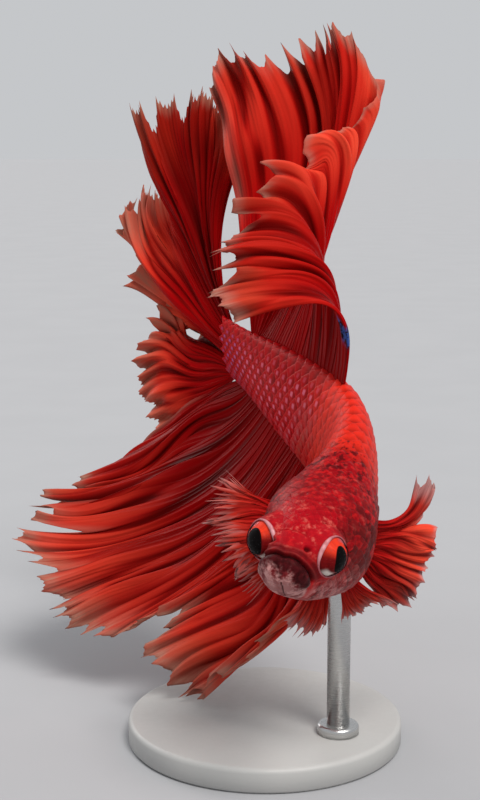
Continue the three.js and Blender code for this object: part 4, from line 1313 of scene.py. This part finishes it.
def make_lid(name, middle, axes, material):
    """The soft pale rim that the skin makes round the eye, broadest above and in front."""
    axis, up, front = axes
    turn, round_ = np.broadcast_arrays(full_turn(LID_SPOKES)[:, None], full_turn(LID_STEPS))
    broad = np.maximum(0, np.cos(turn - math.radians(LID_BROADEST))) ** 3
    tube = 0.06 + 0.11 * broad
    slope = math.asin(LID_RADIUS / EYE_RADIUS) - broad * 0.06
    reach = (EYE_RADIUS + 0.01) * np.sin(slope) + tube * np.cos(round_)
    height = (EYE_RADIUS + 0.01) * np.cos(slope) + tube * np.sin(round_)
    points = middle + reach[..., None] * around(turn, up, front) + height[..., None] * axis
    marks = {"lid_across": 0.5 - 0.5 * np.sin(round_), "lid_broad": broad}
    # One more row of faces joins the last ring of points to the first.
    faces = grid_faces(LID_SPOKES + 1, LID_STEPS, wrap=True) % (LID_SPOKES * LID_STEPS)
    if np.cross(up, front) @ axis > 0:
        faces = faces[:, ::-1]
    make_piece(name, points.reshape(-1, 3), faces, material, marks)


# ---- the stand ----

STAND_GREY, STAND_PALE = (0.4, 0.4, 0.39), (0.46, 0.455, 0.44)
STEEL_DARK, STEEL_LIGHT = (0.5, 0.5, 0.5), (0.62, 0.62, 0.61)
BASE_FOOT = 0.25  # the small chamfer under the base
BASE_SPOKES, ROD_SPOKES, COLLAR_SPOKES = 160, 48, 64
ROD_SUNK, ROD_EDGE = 0.2, 0.15
COLLAR_WIDTH, COLLAR_HEIGHT, COLLAR_EDGE = 0.75, 0.8, 0.3


def lathe(name, profile, spokes, middle, material):
    """A turned piece from a profile of (radius, height) that runs up its side; both ends are closed."""
    turn = full_turn(spokes)
    rings = [np.column_stack([np.cos(turn) * radius, np.sin(turn) * radius, 0 * turn + height])
             for radius, height in profile]
    return make_closed(name, np.array(rings) + [*middle, 0], {}, material, turned=False)


def base_material():
    shader = Shader("stand_base_satin")
    grain = shader.noise(1800, 4)
    colour = shader.blend(shader.span(shader.noise(90, 2), 0.3, 0.7), STAND_GREY, STAND_PALE)
    return shader.finish(shader.surface(colour, grain, (0.42, 0.55), shader.bump(grain, 0.00004, 0.25)))


def rod_material():
    """Steel with fine rings round it, as a lathe leaves them."""
    shader = Shader("stand_rod_steel")
    place = shader.node("ShaderNodeSeparateXYZ", {"Vector": shader.place()})
    x, y, z = (Value(shader, socket) for socket in place.socket.node.outputs)
    rings = shader.noise(1, 3, 0.6, shader.combine(x * 900, y * 900, z * 90000))
    colour = shader.blend(shader.span(rings, 0.3, 0.7), STEEL_DARK, STEEL_LIGHT)
    normal = shader.bump(rings, 0.000008, 0.4)
    return shader.finish(shader.surface(colour, rings, (0.22, 0.34), normal, Metallic=1))


def rounded(radius, high, edge, steps=6):
    """Profile points round the upper edge of a disc."""
    turns = np.radians(np.linspace(0, 90, steps))
    return [(radius - edge + edge * math.cos(t), high - edge + edge * math.sin(t)) for t in turns]


def make_stand():
    profile = [(BASE_RADIUS - BASE_FOOT, 0), (BASE_RADIUS, BASE_FOOT)]
    profile += rounded(BASE_RADIUS, BASE_HEIGHT, BASE_CHAMFER)
    base = lathe("stand_base_disc", profile, BASE_SPOKES, (0, 0), base_material())
    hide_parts("stand_base")
    steel = rod_material()
    middle = body_point(ROD_S, -90)[:2]
    _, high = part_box("stand_rod")
    end = high.z / MM
    profile = [(ROD_RADIUS, BASE_HEIGHT - ROD_SUNK)] + rounded(ROD_RADIUS, end, ROD_EDGE)
    rod = lathe("stand_rod_post", profile, ROD_SPOKES, middle, steel)
    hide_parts("stand_rod")
    radius, height = ROD_RADIUS + COLLAR_WIDTH, BASE_HEIGHT + COLLAR_HEIGHT
    profile = [(radius, BASE_HEIGHT)] + rounded(radius, height, COLLAR_EDGE)
    lathe("stand_rod_collar", profile, COLLAR_SPOKES, middle, steel)


# ---- the studio ----

AIM = np.array([-2, 2, 27.4])
CAMERA_DISTANCE = 119
CAMERA_ELEVATION = 10
LENS, SENSOR, CLIP_START = 67.5, 36, 0.001
FLOOR_HALF = 3.0  # metres
FLOOR_GREY, FLOOR_PALE = (0.392, 0.397, 0.41), (0.402, 0.407, 0.42)
SKY, SKY_STRENGTH = (0.93, 0.95, 0.98, 1), 0.6


def make_camera():
    data = bpy.data.cameras.new("camera")
    data.lens = LENS
    data.sensor_width = SENSOR
    data.clip_start = CLIP_START
    camera = add_to_scene("camera", data)
    tilt = math.radians(CAMERA_ELEVATION)
    back = np.array([0, -math.cos(tilt), math.sin(tilt)]) * CAMERA_DISTANCE
    camera.location = Vector((AIM + back) * MM)
    camera.rotation_euler = Vector(-back).to_track_quat("-Z", "Y").to_euler()
    bpy.context.scene.camera = camera


def soft_sun(name, towards, strength, spread, colour):
    """A distant soft light that shines from the direction "towards"; spread is its width in degrees."""
    data = bpy.data.lights.new(name, "SUN")
    data.energy = strength
    data.angle = math.radians(spread)
    data.color = colour
    light = add_to_scene(name, data)
    light.rotation_euler = (-Vector(towards)).to_track_quat("-Z", "Y").to_euler()


def make_floor():
    shader = Shader("floor_pale")
    colour = shader.blend(shader.span(shader.noise(60, 3), 0.3, 0.7), FLOOR_GREY, FLOOR_PALE)
    surface = shader.node(
        "ShaderNodeBsdfPrincipled", {"Base Color": colour, "Roughness": 0.9, "Specular IOR Level": 0.1})
    mesh = bpy.data.meshes.new("floor")
    corners = [(x * FLOOR_HALF, y * FLOOR_HALF, 0) for x, y in ((-1, -1), (1, -1), (1, 1), (-1, 1))]
    mesh.from_pydata(corners, [], [(0, 1, 2, 3)])
    mesh.materials.append(shader.finish(surface))
    floor = add_to_scene("floor", mesh)


def make_world():
    world = bpy.data.worlds.new("studio")
    world.use_nodes = True
    background = world.node_tree.nodes["Background"]
    background.inputs["Color"].default_value = SKY
    background.inputs["Strength"].default_value = SKY_STRENGTH
    bpy.context.scene.world = world


def make_studio():
    make_camera()
    make_floor()
    make_world()
    soft_sun("key", (0.3, -0.55, 0.85), 2.7, 26, (1, 0.97, 0.94))
    soft_sun("rim", (-0.6, 0.75, 0.55), 0.9, 30, (1, 0.97, 0.95))


make_studio()
bpy.context.scene.view_settings.view_transform = "Standard"
make_skin(skin_material())
make_coat(scale_material())
make_fins()
make_eyes()
make_stand()
